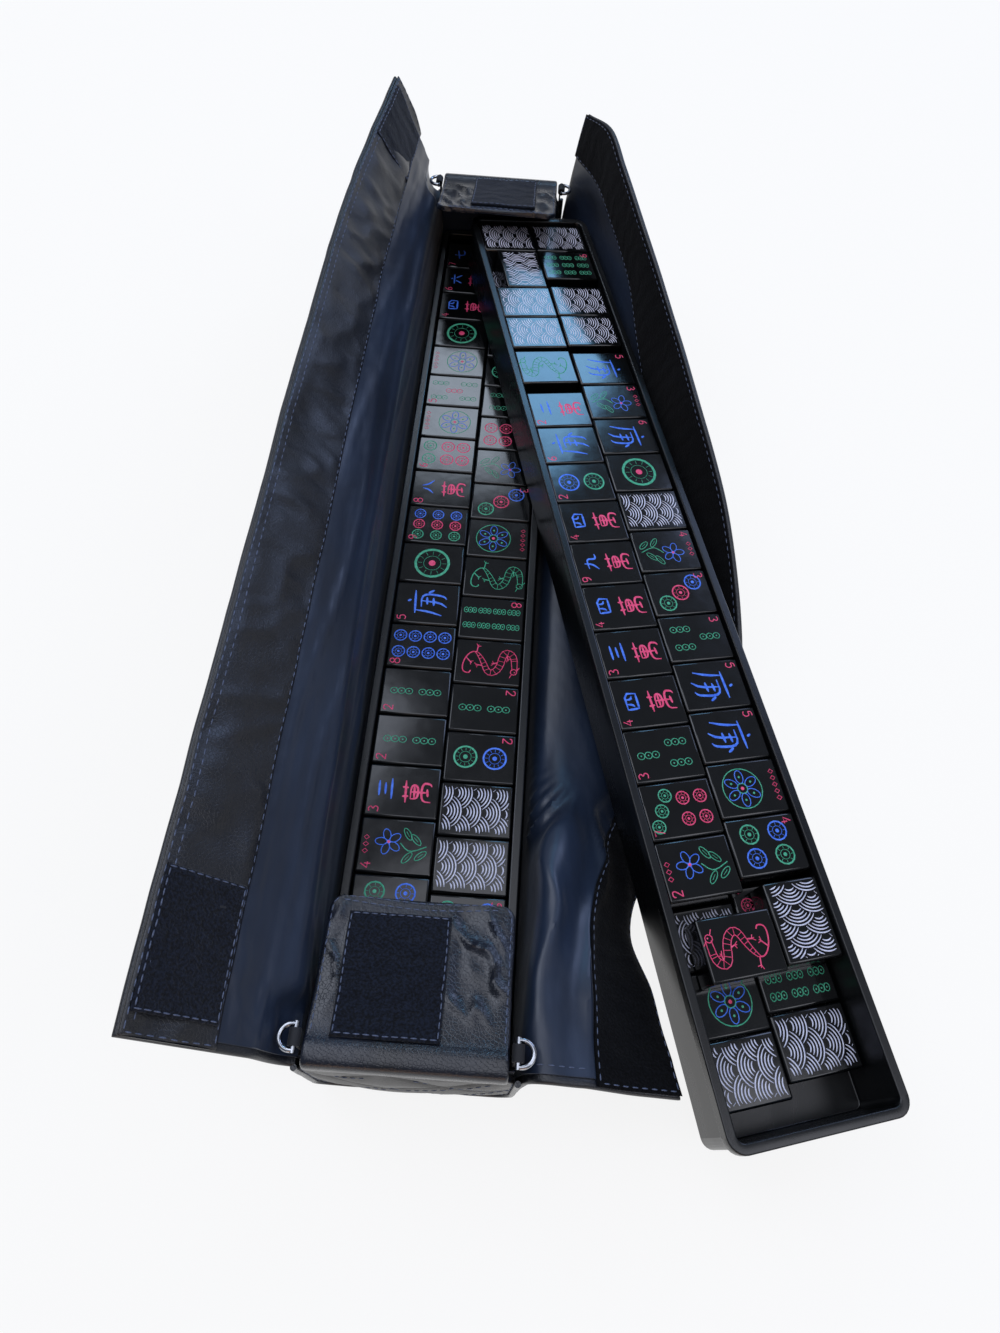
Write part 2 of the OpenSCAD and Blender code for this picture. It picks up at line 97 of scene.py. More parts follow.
def make_camera():
    """The camera, looking down by its pitch, turned by its yaw and tilted by its roll."""
    ahead = Vector((-math.sin(YAW) * math.cos(PITCH_DOWN), math.cos(YAW) * math.cos(PITCH_DOWN),
                    -math.sin(PITCH_DOWN)))
    level = Vector((math.cos(YAW), math.sin(YAW), 0))
    upward = level.cross(ahead)
    right = math.cos(ROLL) * level + math.sin(ROLL) * upward
    up = -math.sin(ROLL) * level + math.cos(ROLL) * upward
    bpy.ops.object.camera_add(location=[v * MM for v in CAMERA_AT])
    camera = bpy.context.object
    camera.name = "camera"
    camera.matrix_world = Matrix.Translation(Vector(CAMERA_AT) * MM) @ Matrix(
        (right, up, -ahead)).transposed().to_4x4()
    camera.data.sensor_fit = "VERTICAL"
    camera.data.sensor_height = 24.0
    camera.data.lens = 24.0 * FOCAL_PX / IMAGE_H
    camera.data.clip_start = 0.01
    bpy.context.scene.camera = camera
    return camera


camera = make_camera()
print("camera lens %.2f mm" % camera.data.lens)

# %% [markdown]
# ## Colours and nodes
# A colour given here is an sRGB hex value, but shaders work in linear light, so one function
# turns the one into the other. A second small function adds a shader node with its settings.


# %% Helpers for materials
def srgb(hex_code):
    """A hex colour as linear RGBA."""
    parts = [int(hex_code[i:i + 2], 16) / 255 for i in (1, 3, 5)]
    return [c / 12.92 if c <= 0.04045 else ((c + 0.055) / 1.055) ** 2.4 for c in parts] + [1.0]


def add(tree, kind, values=None, links=None, **settings):
    """Adds a node, sets its settings and input values, and links sockets into its inputs."""
    node = tree.nodes.new(kind)
    for key, value in settings.items():
        setattr(node, key, value)
    for key, value in (values or {}).items():
        node.inputs[key].default_value = value
    for key, socket in (links or {}).items():
        tree.links.new(socket, node.inputs[key])
    return node


def start_material(name, **values):
    """A material with a Principled shader, and its tree and shader."""
    material = bpy.data.materials.new(name)
    material.use_nodes = True
    tree = material.node_tree
    shader = tree.nodes["Principled BSDF"]
    for key, value in values.items():
        shader.inputs[key.replace("_", " ")].default_value = value
    return material, tree, shader


def noise(size_mm, detail=2.0, stretch=(1, 1, 1)):
    """A pattern of blobs about size_mm across, stretched along the axes."""

    def build(tree):
        place = add(tree, "ShaderNodeTexCoord").outputs["Object"]
        mapping = add(tree, "ShaderNodeMapping", {"Scale": [1 / s for s in stretch]}, {"Vector": place})
        return add(tree, "ShaderNodeTexNoise", {"Scale": 1 / (size_mm * MM), "Detail": detail},
                   {"Vector": mapping.outputs[0]}).outputs[0]

    return build


def wavy_rows(spacing_mm, values, **settings):
    """A pattern of wavy rows that follows the cloth's own UV map."""

    def build(tree):
        place = add(tree, "ShaderNodeTexCoord").outputs["UV"]
        return add(tree, "ShaderNodeTexWave", {"Scale": 1 / (20 * spacing_mm * MM), **values},
                   {"Vector": place}, **settings).outputs[0]

    return build


def ramp(tree, factor, low, high, low_at=0.3, high_at=0.7):
    """Blends two colours by a factor."""
    node = add(tree, "ShaderNodeValToRGB", links={"Fac": factor})
    node.color_ramp.elements[0].position, node.color_ramp.elements[1].position = low_at, high_at
    node.color_ramp.elements[0].color, node.color_ramp.elements[1].color = low, high
    return node.outputs[0]


def pebbles(size_mm, valley):
    """A pattern of flat pebbles with narrow valleys between them, like pressed leather grain."""

    def build(tree):
        edge = add(tree, "ShaderNodeTexVoronoi", {"Scale": 1 / (size_mm * MM)},
                   {"Vector": add(tree, "ShaderNodeTexCoord").outputs["Object"]},
                   feature="DISTANCE_TO_EDGE").outputs[0]
        return ramp(tree, edge, (0, 0, 0, 1), (1, 1, 1, 1), 0.0, valley)

    return build


def finish(name, tint, low, high, rough=None, bumps=(), blend=(0.3, 0.7), **values):
    """A material. The tint's pattern blends two colours, rough is a pattern with the two ends of
    the roughness, and each bump (a pattern and a depth in mm) lies on the one before it."""
    material, tree, shader = start_material(name, **values)
    tree.links.new(ramp(tree, tint(tree), srgb(low), srgb(high), *blend), shader.inputs["Base Color"])
    if rough:
        pattern, smoothest, roughest = rough
        span = add(tree, "ShaderNodeMapRange", {"To Min": smoothest, "To Max": roughest},
                   {"Value": pattern(tree)})
        tree.links.new(span.outputs[0], shader.inputs["Roughness"])
    below = {}
    for pattern, depth_mm in bumps:
        node = add(tree, "ShaderNodeBump", {"Distance": depth_mm * MM, "Strength": 1.0},
                   {"Height": pattern(tree), **below})
        below = {"Normal": node.outputs[0]}
        tree.links.new(node.outputs[0], shader.inputs["Normal"])
    return material


# %% [markdown]
# ## The finishes
# Each material starts from what the real one is. The skin is a polyurethane film on cloth, pressed
# with a fine leather grain: it is nearly black, and its sheen is bluish. The lining is woven nylon,
# the pads on the flaps are fuzzy loop tape, the trays are moulded ABS and the tiles are polished
# resin with painted marks.


# %% Materials
def grained_pu_leather(name, low, high, smoothest, roughest, crumple_mm):
    """Film with a pressed grain: soft gloss, broken up by the grain and by small crumples."""
    return finish(name, noise(28, 3), low, high, (noise(9, 4), smoothest, roughest),
                  [(noise(5, 5, (1.6, 0.8, 1)), crumple_mm), (pebbles(1.3, 0.12), 0.035)],
                  Specular_IOR_Level=0.6, Sheen_Weight=0.02, Sheen_Roughness=0.4)


def woven_nylon(name, low, high, rough, fold_mm):
    """Tight plain weave with a silky, soft gloss. The real threads are 0.2 mm apart. They are drawn
    at 0.7 mm so that they show at all."""
    threads = wavy_rows(0.7, {"Distortion": 0.4}, bands_direction="DIAGONAL")
    return finish(name, noise(22, 4, (1, 3, 1)), low, high, (noise(6, 2), rough - 0.06, rough + 0.08),
                  [(noise(11, 3, (1, 3.5, 1)), fold_mm), (threads, 0.02)],
                  Sheen_Weight=0.1, Sheen_Roughness=0.35, Specular_IOR_Level=0.5)


def loop_tape(name, low, high, sheen):
    """Knitted loops brushed up into a fuzz: it has no gloss and a grainy, furry look."""
    fuzz = noise(0.9, 5)
    knit = wavy_rows(1.6, {"Distortion": 6.0, "Detail": 3.0, "Detail Scale": 2.0})
    return finish(name, fuzz, low, high, None, [(knit, 0.25), (fuzz, 0.5)], (0.38, 0.66), Roughness=1.0,
                  Sheen_Weight=sheen, Sheen_Roughness=0.6, Specular_IOR_Level=0.1)


def fired_paint(name, low, high):
    """Enamel paint wiped into an engraved line: even colour and a soft gloss."""
    return finish(name, noise(1.4, 3), low, high, (noise(3, 2), 0.35, 0.55), Specular_IOR_Level=0.4)


SKIN = grained_pu_leather("grained_pu_leather", "#090b11", "#12161f", 0.3, 0.48, 0.16)
GLOSSY_SKIN = grained_pu_leather("crumpled_glossy_pu", "#090c13", "#121826", 0.2, 0.36, 0.14)
# The same black leather with a brown tint: painted warm light, the table's warm glow on the end walls
WARM_LIGHT_PAINTED_SKIN = grained_pu_leather("quilted_pu_painted_warm_light", "#0e0c0b", "#161313", 0.36, 0.52, 0.1)
LINING = woven_nylon("woven_nylon_lining", "#141c2a", "#243044", 0.36, 0.35)
PILE = loop_tape("brushed_loop_tape", "#06080e", "#171d2b", 0.12)
DARK_PILE = loop_tape("dark_loop_tape", "#020203", "#090a0e", 0.03)
WEBBING = woven_nylon("woven_webbing", "#0d0e12", "#17191f", 0.7, 0.1)
# Moulded black ABS with a satin surface: faint flow marks and a few fine rubs
ABS = finish("moulded_black_abs", noise(40, 2), "#08090a", "#0f1113",
             (noise(14, 5, (1, 6, 1)), 0.2, 0.36), [(noise(0.8, 2), 0.008)], Specular_IOR_Level=0.5)
# Cast resin polished to a high gloss: clear reflections, with a trace of handling haze
RESIN = finish("polished_black_resin", noise(9, 3), "#060708", "#0c0d0e", (noise(7, 5), 0.07, 0.17),
               [(noise(12, 2), 0.05)], Specular_IOR_Level=0.6)
PINK = fired_paint("pink_enamel_paint", "#dc3566", "#f75a88")
GREEN = fired_paint("green_enamel_paint", "#309470", "#52b993")
BLUE = fired_paint("blue_enamel_paint", "#3064dc", "#568cfa")
PALE = fired_paint("lavender_enamel_paint", "#c4c6de", "#e6e7f6")
# Bonded polyester thread: smooth, with a slight shine along each stitch
THREAD = finish("bonded_navy_thread", noise(0.6, 2), "#3a4256", "#5b6680", Roughness=0.5)
# Bright nickel on bent steel wire: mirror-like, with soft dull spots from wear
NICKEL = finish("nickel_plated_wire", noise(3, 3), "#8d9096", "#b4b7bd", (noise(2, 4), 0.12, 0.3),
                Metallic=1.0)
# Grey-brown pressed paper board: flecked and quite dull
BOARD = finish("pressed_grey_board", noise(2, 5), "#6d6353", "#8d8270", None, [(noise(1, 4), 0.05)],
               Roughness=0.9)
print("materials:", len(bpy.data.materials))

# %% [markdown]
# ## Working with operators
# An operator acts on whatever is selected, and the loaded nodes are selected at first. So each
# step deselects everything, adds its primitive, and then works on that one object alone.


# %% Helpers for objects
SHARP = math.radians(50)


def added(operator, name, **settings):
    """Runs an operator that adds an object, with nothing selected, and names the object."""
    bpy.ops.object.select_all(action="DESELECT")
    operator(**settings)
    bpy.context.object.name = name
    return bpy.context.object


def only(obj):
    """Makes obj the one selected and active object."""
    bpy.ops.object.select_all(action="DESELECT")
    obj.select_set(True)
    bpy.context.view_layer.objects.active = obj


def apply_modifier(obj, kind, **settings):
    """Adds a modifier, sets it and applies it."""
    only(obj)
    modifier = obj.modifiers.new(kind.lower(), kind)
    for key, value in settings.items():
        setattr(modifier, key, value)
    bpy.ops.object.modifier_apply(modifier=modifier.name)


def turn_outwards(obj, merge_mm=0.0):
    """Turns the faces of obj outwards and shades them smooth, apart from sharp edges."""
    only(obj)
    bpy.ops.object.mode_set(mode="EDIT")
    bpy.ops.mesh.select_all(action="SELECT")
    if merge_mm:
        bpy.ops.mesh.remove_doubles(threshold=merge_mm * MM)
    bpy.ops.mesh.normals_make_consistent(inside=False)
    bpy.ops.object.mode_set(mode="OBJECT")
    bpy.ops.object.shade_smooth_by_angle(angle=SHARP)


def get_points(obj):
    """The vertices of obj as an array, in millimetres."""
    points = np.empty(len(obj.data.vertices) * 3)
    obj.data.vertices.foreach_get("co", points)
    return points.reshape(-1, 3) / MM


def set_points(obj, points):
    """Moves the vertices of obj to these places, in millimetres."""
    obj.data.vertices.foreach_set("co", (np.asarray(points) * MM).ravel())
    obj.data.update()


def finish_piece(obj, body, material=None, replaces=()):
    """Gives a piece its material, the body that it rides on and the nodes that it stands
    for."""
    if material is not None:
        obj.data.materials.clear()
        obj.data.materials.append(material)
    if body:
        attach(obj, body)
    if replaces:
        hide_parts(*replaces)
    return obj


# %% [markdown]
# ## Curves and sheets
# The case is sewn from sheets that bend smoothly, so each is made by the same steps. A path is
# drawn across the case at many stations along it, a flat grid is laid on these paths, and it is
# thickened with Solidify. Then both faces are moved a little, to show folds, puffs and hems. The
# UV map holds real distances along and across the cloth.


# %% Helpers for curves
def joined(table, at):
    """Smoothly joins the values of a table of (place, value) rows, as the CAD source does."""
    places = [row[0] for row in table]
    values = [np.asarray(row[1], float) for row in table]
    i = min(max(int(np.searchsorted(places, at, side="right")) - 1, 0), len(table) - 2)

    def slope(k):
        a, b = max(k - 1, 0), min(k + 1, len(table) - 1)
        return (values[b] - values[a]) / (places[b] - places[a])

    h = places[i + 1] - places[i]
    s = (at - places[i]) / h
    return ((2 * s ** 3 - 3 * s ** 2 + 1) * values[i] + (s ** 3 - 2 * s ** 2 + s) * h * slope(i)
            + (3 * s ** 2 - 2 * s ** 3) * values[i + 1] + (s ** 3 - s ** 2) * h * slope(i + 1))


def cut_corners(points):
    """Rounds an outline off by cutting its corners, keeping its two ends."""
    p = np.asarray(points, float)
    out = []
    for i in range(len(p) - 1):
        out.append(p[i] if i == 0 else 0.75 * p[i] + 0.25 * p[i + 1])
        out.append(p[-1] if i == len(p) - 2 else 0.25 * p[i] + 0.75 * p[i + 1])
    return np.array(out)


def bezier(a, b, c, d, t):
    """A cubic curve from a to d, pulled towards b and c."""
    return (1 - t) ** 3 * a + 3 * t * (1 - t) ** 2 * b + 3 * t * t * (1 - t) * c + t ** 3 * d


def through(points, q):
    """A smooth curve through points, at the places q, counted in points."""
    p = np.asarray(points, float)
    q = np.asarray(q, float)
    i = np.clip(np.floor(q).astype(int), 0, len(p) - 2)
    s = (q - i)[:, None]
    a, b, c, d = p[np.maximum(i - 1, 0)], p[i], p[i + 1], p[np.minimum(i + 2, len(p) - 1)]
    return 0.5 * (2 * b + (c - a) * s + (2 * a - 5 * b + 4 * c - d) * s ** 2
                  + (3 * b - a - 3 * c + d) * s ** 3)


def run_of(points):
    """The length of a path up to each of its points."""
    return np.concatenate([[0], np.cumsum(np.linalg.norm(np.diff(points, axis=0), axis=1))])


def distances(places, axis):
    """Distances over an array of places along one of its axes."""
    first = places.take([0], axis)
    return np.cumsum(np.linalg.norm(np.diff(places, axis=axis, prepend=first), axis=2), axis=axis)


def raised(places):
    """The vectors square to an array of places, which are as long as its cells are large."""
    return np.cross(np.gradient(places, axis=1), np.gradient(places, axis=0))


def unit(vectors):
    """The same vectors with the length one."""
    return vectors / np.linalg.norm(vectors, axis=-1)[..., None]


def spaced(a, b, step, rim=2.0):
    """Places from a to b about a step apart, with closer ones near both ends."""
    inner = np.linspace(a + rim, b - rim, max(2, int(round((b - a - 2 * rim) / step)) + 1))
    edge = rim * np.array([0, 0.08, 0.25, 0.55])
    return np.concatenate([a + edge, inner, b - edge[::-1]])


def lattice(u, v, seed):
    """A fixed random value from -1 to 1 for each whole u and v."""
    value = np.sin(u * 127.1 + v * 311.7 + seed * 74.7) * 43758.5453
    return 2 * (value - np.floor(value)) - 1


def soft_noise(u, v, seed=0, octaves=2):
    """Smooth noise, about -1 to 1, with blobs one unit across."""
    total = np.zeros(np.broadcast(u, v).shape)
    for octave in range(octaves):
        scale = 2.0 ** octave
        x, y = u * scale + 17.3 * octave, v * scale - 9.1 * octave
        i, j = np.floor(x), np.floor(y)
        s, t = x - i, y - j
        s, t = s * s * (3 - 2 * s), t * t * (3 - 2 * t)
        near = lattice(i, j, seed) * (1 - s) + lattice(i + 1, j, seed) * s
        far = lattice(i, j + 1, seed) * (1 - s) + lattice(i + 1, j + 1, seed) * s
        total += (near * (1 - t) + far * t) / scale
    return total


def ease(x):
    """Goes smoothly from 0 to 1 as x does."""
    x = np.clip(x, 0, 1)
    return x * x * (3 - 2 * x)


# %% The sheet maker
def sewn_sheet(name, places, top=0.0, bottom=-1.0, face=None, back=None, rim=0.5, flip=False):
    """A thickened sheet on an array of places (rows along the sheet, columns across it), in mm.
    face and back take distances along and across the sheet and give heights over both faces."""
    rows, columns = places.shape[:2]
    normal = unit(raised(places) * (-1 if flip else 1))
    u, v = distances(places, 0), distances(places, 1)
    edge = np.minimum.reduce([u, u[-1:] - u, v, v[:, -1:] - v])
    drop = rim - np.sqrt(np.maximum(rim ** 2 - (rim - np.minimum(edge, rim)) ** 2, 0))
    heights = [top - drop + (face(u, v) if face else 0), bottom + drop + (back(u, v) if back else 0)]

    obj = added(bpy.ops.mesh.primitive_grid_add, name, x_subdivisions=columns - 1,
                y_subdivisions=rows - 1, size=1)
    flat = get_points(obj) * MM
    column = np.rint((flat[:, 0] + 0.5) * (columns - 1)).astype(int)
    row = np.rint((flat[:, 1] + 0.5) * (rows - 1)).astype(int)
    corners = np.empty(len(obj.data.loops), int)
    obj.data.loops.foreach_get("vertex_index", corners)
    uv = np.stack([u[row, column], v[row, column]], axis=1)[corners] * MM
    obj.data.uv_layers[0].data.foreach_set("uv", uv.ravel())
    set_points(obj, places[row, column])
    apply_modifier(obj, "SOLIDIFY", thickness=0.5 * MM, offset=-1)
    faces = [places[row, column] + normal[row, column] * h[row, column][:, None] for h in heights]
    set_points(obj, np.concatenate(faces))
    turn_outwards(obj)
    obj["area_mm2"] = float(np.sum(np.linalg.norm(raised(places), axis=2)[1:, 1:]))
    obj["length_mm"] = float(u[-1].mean())
    return obj, places + normal * heights[0][..., None]


QUILT_WIDE, QUILT_TALL = 42.0, 26.0


def quilted(depth=0.5, puff=1.3):
    """Heights of a quilt: puffs between two sets of slanting stitch lines."""

    def height(u, v):
        a = np.abs(np.sin(math.pi * (u / QUILT_WIDE + v / QUILT_TALL)))
        b = np.abs(np.sin(math.pi * (u / QUILT_WIDE - v / QUILT_TALL)))
        near = np.minimum(a, b)
        wrinkle = 0.18 * soft_noise(u / 5, v / 5, 3) * (1 - near)
        return puff * (np.sqrt(near + 0.02) - 0.8) - depth * np.exp(-(near / 0.14) ** 2) + wrinkle

    return height


# %% [markdown]
# ## Stitches
# Every seam of the case shows its thread. One stitch is a short bead of thread. It is modelled once
# and copied along each seam, and all the stitches of a seam are one mesh.


# %% One stitch, and rows of it
def make_stitch():
    """A thread stitch 2.6 mm long: a stretched sphere of a few faces."""
    obj = added(bpy.ops.mesh.primitive_uv_sphere_add, "stitch", segments=6, ring_count=4, radius=1)
    points = get_points(obj) * MM
    faces = [list(p.vertices) for p in obj.data.polygons]
    bpy.data.objects.remove(obj)
    return points[:, [2, 0, 1]] * np.array([1.3, 0.3, 0.24]), faces


STITCH_POINTS, STITCH_FACES = make_stitch()


def mesh_of(name, points, faces, materials, kinds=None):
    """One mesh object from points in millimetres, faces and their material numbers."""
    mesh = bpy.data.meshes.new(name)
    mesh.from_pydata((np.asarray(points) * MM).tolist(), [], faces)
    for material in materials:
        mesh.materials.append(material)
    if kinds is not None:
        mesh.polygons.foreach_set("material_index", kinds)
    obj = bpy.data.objects.new(name, mesh)
    bpy.context.scene.collection.objects.link(obj)
    return obj


def stitch_seams(name, seams, body, gap):
    """Stitches along seams. Each seam is (places, normals) along a line, in mm."""
    points, faces = [], []
    for places, normals in seams:
        run = run_of(places)
        marks = np.arange(gap / 2, run[-1], gap)
        at_mark = lambda field, shift=0.0: np.stack([np.interp(marks + shift, run, field[:, k])
                                                     for k in range(3)], axis=1)
        at, up = at_mark(places), at_mark(normals)
        ahead = at_mark(places, 0.5) - at
        for p, x, z in zip(at, ahead, up):
            x = x / max(np.linalg.norm(x), 1e-6)
            z = z - x * np.dot(z, x)
            z = z / max(np.linalg.norm(z), 1e-6)
            turn = np.stack([x, np.cross(z, x), z])
            base = len(points)
            points.extend(p + STITCH_POINTS @ turn)
            faces.extend([[base + i for i in f] for f in STITCH_FACES])
    obj = mesh_of(name, points, faces, [THREAD])
    for polygon in obj.data.polygons:
        polygon.use_smooth = True
    return finish_piece(obj, body)


def inset_line(face, edge, inset, trim=None):
    """A line on a finished face, at a distance from one of its edges and cut short at its ends, with
    the face's normals there. Rows start and end the face, and columns are its left and right."""
    trim = inset if trim is None else trim
    turn = {"start": lambda a: a, "end": lambda a: a[::-1], "left": lambda a: a.transpose(1, 0, 2),
            "right": lambda a: a.transpose(1, 0, 2)[::-1]}[edge]
    grid, normal = turn(face), turn(raised(face))
    depth = distances(grid, 0)
    pick_at = lambda field: np.array([[np.interp(inset, depth[:, j], field[:, j, k]) for k in range(3)]
                                      for j in range(grid.shape[1])])
    line, up = pick_at(grid), pick_at(normal)
    run = run_of(line)
    kept = (run > trim) & (run < run[-1] - trim)
    return line[kept], up[kept]


def border(face, inset, edges=("start", "end", "left", "right")):
    """Lines round a face, inset from its edges."""
    return [inset_line(face, edge, inset) for edge in edges]


def line_on(face, us, vs):
    """A line on a finished face through distances along it and across it from its first corner,
    with the face's normals there. What lies within 1 mm of an edge is left out."""
    u, v = distances(face, 0).mean(axis=1), distances(face, 1)[face.shape[0] // 2]
    inside = (us > 1) & (us < u[-1] - 1) & (vs > 1) & (vs < v[-1] - 1)
    r, c = (np.interp(at[inside], far, np.arange(len(far))) for at, far in ((us, u), (vs, v)))
    i, j = r.astype(int), c.astype(int)
    s, t = (r - i)[:, None], (c - j)[:, None]

    def blended(field):
        low = field[i, j] * (1 - t) + field[i, j + 1] * t
        high = field[i + 1, j] * (1 - t) + field[i + 1, j + 1] * t
        return low * (1 - s) + high * s

    return blended(face), blended(raised(face))


def quilt_lines(face, across, up, across_shift, up_shift):
    """The slanting stitch lines of a quilt over part of an end panel, given as ranges in mm."""
    lines = []
    us = np.arange(*up, 1.0)
    for sign in (1, -1):
        for m in range(-30, 31):
            vs = QUILT_WIDE * (m - sign * (us + up_shift) / QUILT_TALL) - across_shift
            inside = (vs > across[0]) & (vs < across[1])
            if inside.sum() > 4:
                line = line_on(face, us[inside], vs[inside])
                if len(line[0]) > 3:
                    lines.append(line)
    return lines


print("stitch faces:", len(STITCH_FACES))

# %% [markdown]
# ## The lifted tray's place
# The second tray leans across the right side of the case, turned by 15 degrees and tilted by 7.5.
# Soft pieces have to keep clear of it, so one function measures how far points are from its box.


# %% Place of the lifted tray
def lifted_matrix():
    """From the tray's own frame to the case's, in millimetres: first the turn, then the lean."""
    turn = Matrix.Rotation(LIFT_LEAN, 4, "Y") @ Matrix.Rotation(LIFT_YAW, 4, "Z")
    return Matrix.Translation((LIFT_X, LIFT_Y, LIFT_Z)) @ turn


LIFTED = np.array(lifted_matrix())


def lifted_distance(points):
    """Distance in millimetres from points to the lifted tray, below zero inside it."""
    local = (points - LIFTED[:3, 3]) @ LIFTED[:3, :3]
    best = np.full(points.shape[:-1], 1e9)
    for half, low, high in ((BODY_W / 2, 0, TRAY_H - LIP_H), (TRAY_W / 2, TRAY_H - LIP_H, TRAY_H)):
        middle = np.array([0, 0, (low + high) / 2])
        reach = np.array([half, half - BODY_W / 2 + BODY_L / 2, (high - low) / 2])
        q = np.abs(local - middle) - reach
        outside = np.linalg.norm(np.maximum(q, 0), axis=-1)
        best = np.minimum(best, outside + np.minimum(q.max(axis=-1), 0))
    return best


print("lifted tray's middle:", LIFTED[:3, 3].round(1))

# %% [markdown]
# ## The right side of the case
# The lifted tray has pressed this side down and out. At the far end the wall and its flap still
# stand up, in the middle they lie under the tray, and at the near end the flap hangs out over the
# table. The drape is a table of paths across the case, each with its foot, its bends and its free
# edge, and the paths between two rows are joined smoothly.


# %% Paths of the right side
def under(x):
    """Height of the lifted tray's underside at x."""
    return LIFT_Z - math.tan(LIFT_LEAN) * (x - LIFT_X)


def beside(f, off):
    """x of a line along the lifted tray, off from its middle, at the station f."""
    c, lean = math.cos(LIFT_YAW), math.cos(LIFT_LEAN)
    y = f * OUT_Y - LIFT_Y - off * math.sin(LIFT_YAW)
    return LIFT_X + off * c * lean - math.tan(LIFT_YAW) * lean * y


def right_rows():
    """Rows of the right drape: a station from -1 to 1, and five points from the foot to the edge."""
    t, w = CREASE_Z, WALL_X
    body = lambda f: beside(f, BODY_W / 2)
    lip = lambda f: beside(f, TRAY_W / 2) + TRAY_H * math.sin(LIFT_LEAN)
    foot = [w, BASE_T]
    return [
        (-1.00, [foot, [w + 0.5, t / 2], [w + 3, t], [w + 30, t - 11], [w + 58.5, t - 22]]),
        (-0.86, [foot, [w + 1.5, t / 2], [w + 4.5, t - 3], [w + 27, t - 18], [w + 50, t - 34]]),
        (-0.76, [foot, [w + 2, t / 2], [w + 6.5, t - 5.6], [w + 27, t - 25], [w + 44, t - 44]]),
        (-0.66, [foot, [w + 3, t / 2], [w + 10.5, t - 11], [w + 34, t - 36], [w + 52, t - 50]]),
        (-0.56, [foot, [w + 3, t / 2], [w + 20, under(58) + 5], [w + 40, under(78) - 9],
                 [body(-0.56) - 32, 13]]),
        (-0.44, [foot, [w + 3, under(40) - 6], [w + 35, under(72) - 6], [w + 62, 15],
                 [body(-0.44) - 5, 16]]),
        (-0.24, [foot, [w + 3, under(40) - 8], [w + 45, under(82) - 6], [body(-0.24) + 3, 13.5],
                 [body(-0.24) + 12, 30]]),
        (0.00, [foot, [w + 3, under(40) - 8], [w + 44, under(82) - 6], [body(0) + 5, 18],
                [body(0) + 20, 54]]),
        (0.24, [foot, [w + 3, under(40) - 8], [w + 46, under(84) - 4.5], [body(0.24) + 8, 22],
                [lip(0.24) + 14, 74]]),
        (0.44, [foot, [w + 5, under(42) - 10], [body(0.44) + 7, 22.5], [lip(0.44) + 6, 50],
                [lip(0.44) + 15, 82]]),
        (0.64, [foot, [body(0.64) + 4, 18], [body(0.64) + 10, 43], [lip(0.64) + 8, 70],
                [lip(0.64) + 11, 98]]),
        (0.80, [foot, [body(0.80) + 4, 20], [lip(0.80) + 4, t - 13], [lip(0.80) + 7, 81],
                [lip(0.80) + 9, t + 43]]),
        (0.90, [foot, [w + 10, 24], [w + 18, t - 6], [w + 20, t + 20], [w + 22, t + 48]]),
        (1.00, [foot, [w + 0.5, t / 2], [w + 3, t], [w + 6.5, t + 21], [w + 10, t + 42]]),
    ]


RIGHT_ROWS = right_rows()
WALL_END, FOLD_END, STRIP_START, DRAPE_END = 5, 8, 10, 13


CLOSE_TO_EDGE = np.array([0.3, 0.9])


def marked_path(path, at, counts):
    """Points along a fine path: counts of even steps between the lengths in at, and a few more
    close to both ends, where an edge is rounded."""
    run = run_of(path)
    marks = [np.linspace(a, b, n, endpoint=False) for a, b, n in zip(at[:-1], at[1:], counts)]
    marks = np.sort(np.concatenate(marks + [[at[-1]], at[0] + CLOSE_TO_EDGE, at[-1] - CLOSE_TO_EDGE]))
    return np.stack([np.interp(marks, run, path[:, 0]), np.interp(marks, run, path[:, 1])], axis=1)


def right_path(y):
    """The fine path of the drape's inner face at y, and its lengths at whole points."""
    places = np.linspace(0, DRAPE_END, 20 * DRAPE_END + 1)
    path = through(cut_corners(cut_corners(joined(RIGHT_ROWS, y / OUT_Y))), places)
    path[:, 1] = np.maximum(path[:, 1], BASE_T + 0.1)
    run = run_of(path)
    return path, run[::20], run


LINING_FOOT_Z, CORNER_TOP_Z, BASE_RADIUS = 4.7, 9.8, 7.2


def from_base(xz):
    """A side's places across the case, led on from the middle of the base round its corner."""
    base = np.stack([np.linspace(0, WALL_X - BASE_RADIUS, 12)[:-1], np.full(11, BASE_T)], axis=1)
    start, corner, end = np.array([WALL_X - BASE_RADIUS, BASE_T]), np.array([WALL_X, BASE_T]), xz[0]
    t = np.linspace(0, 1, 8)[:, None]
    turn = bezier(start, start + 0.55 * (corner - start), end + 0.55 * (corner - end), end, t)
    return np.concatenate([base, turn[:-1], xz])


def right_grid(ys, first, last, counts, with_base=False):
    """Places on the right drape between two of its points, for all stations ys."""
    rows = []
    for y in ys:
        path, at, run = right_path(y)
        if first == 0:
            low = np.interp(CORNER_TOP_Z if with_base else LINING_FOOT_Z, path[:60, 1], run[:60])
            stops = [low] + [at[k] for k in (WALL_END, FOLD_END, last) if k <= last]
        else:
            stops = [at[first], at[last]]
        xz = marked_path(path, np.array(stops), counts)
        if with_base:
            xz = from_base(xz)
        rows.append(np.stack([xz[:, 0], np.full(len(xz), y), xz[:, 1]], axis=1))
    return np.array(rows)


NIP_X, NIP_Y = 62, -118
TRAY_ROOM = 1.2


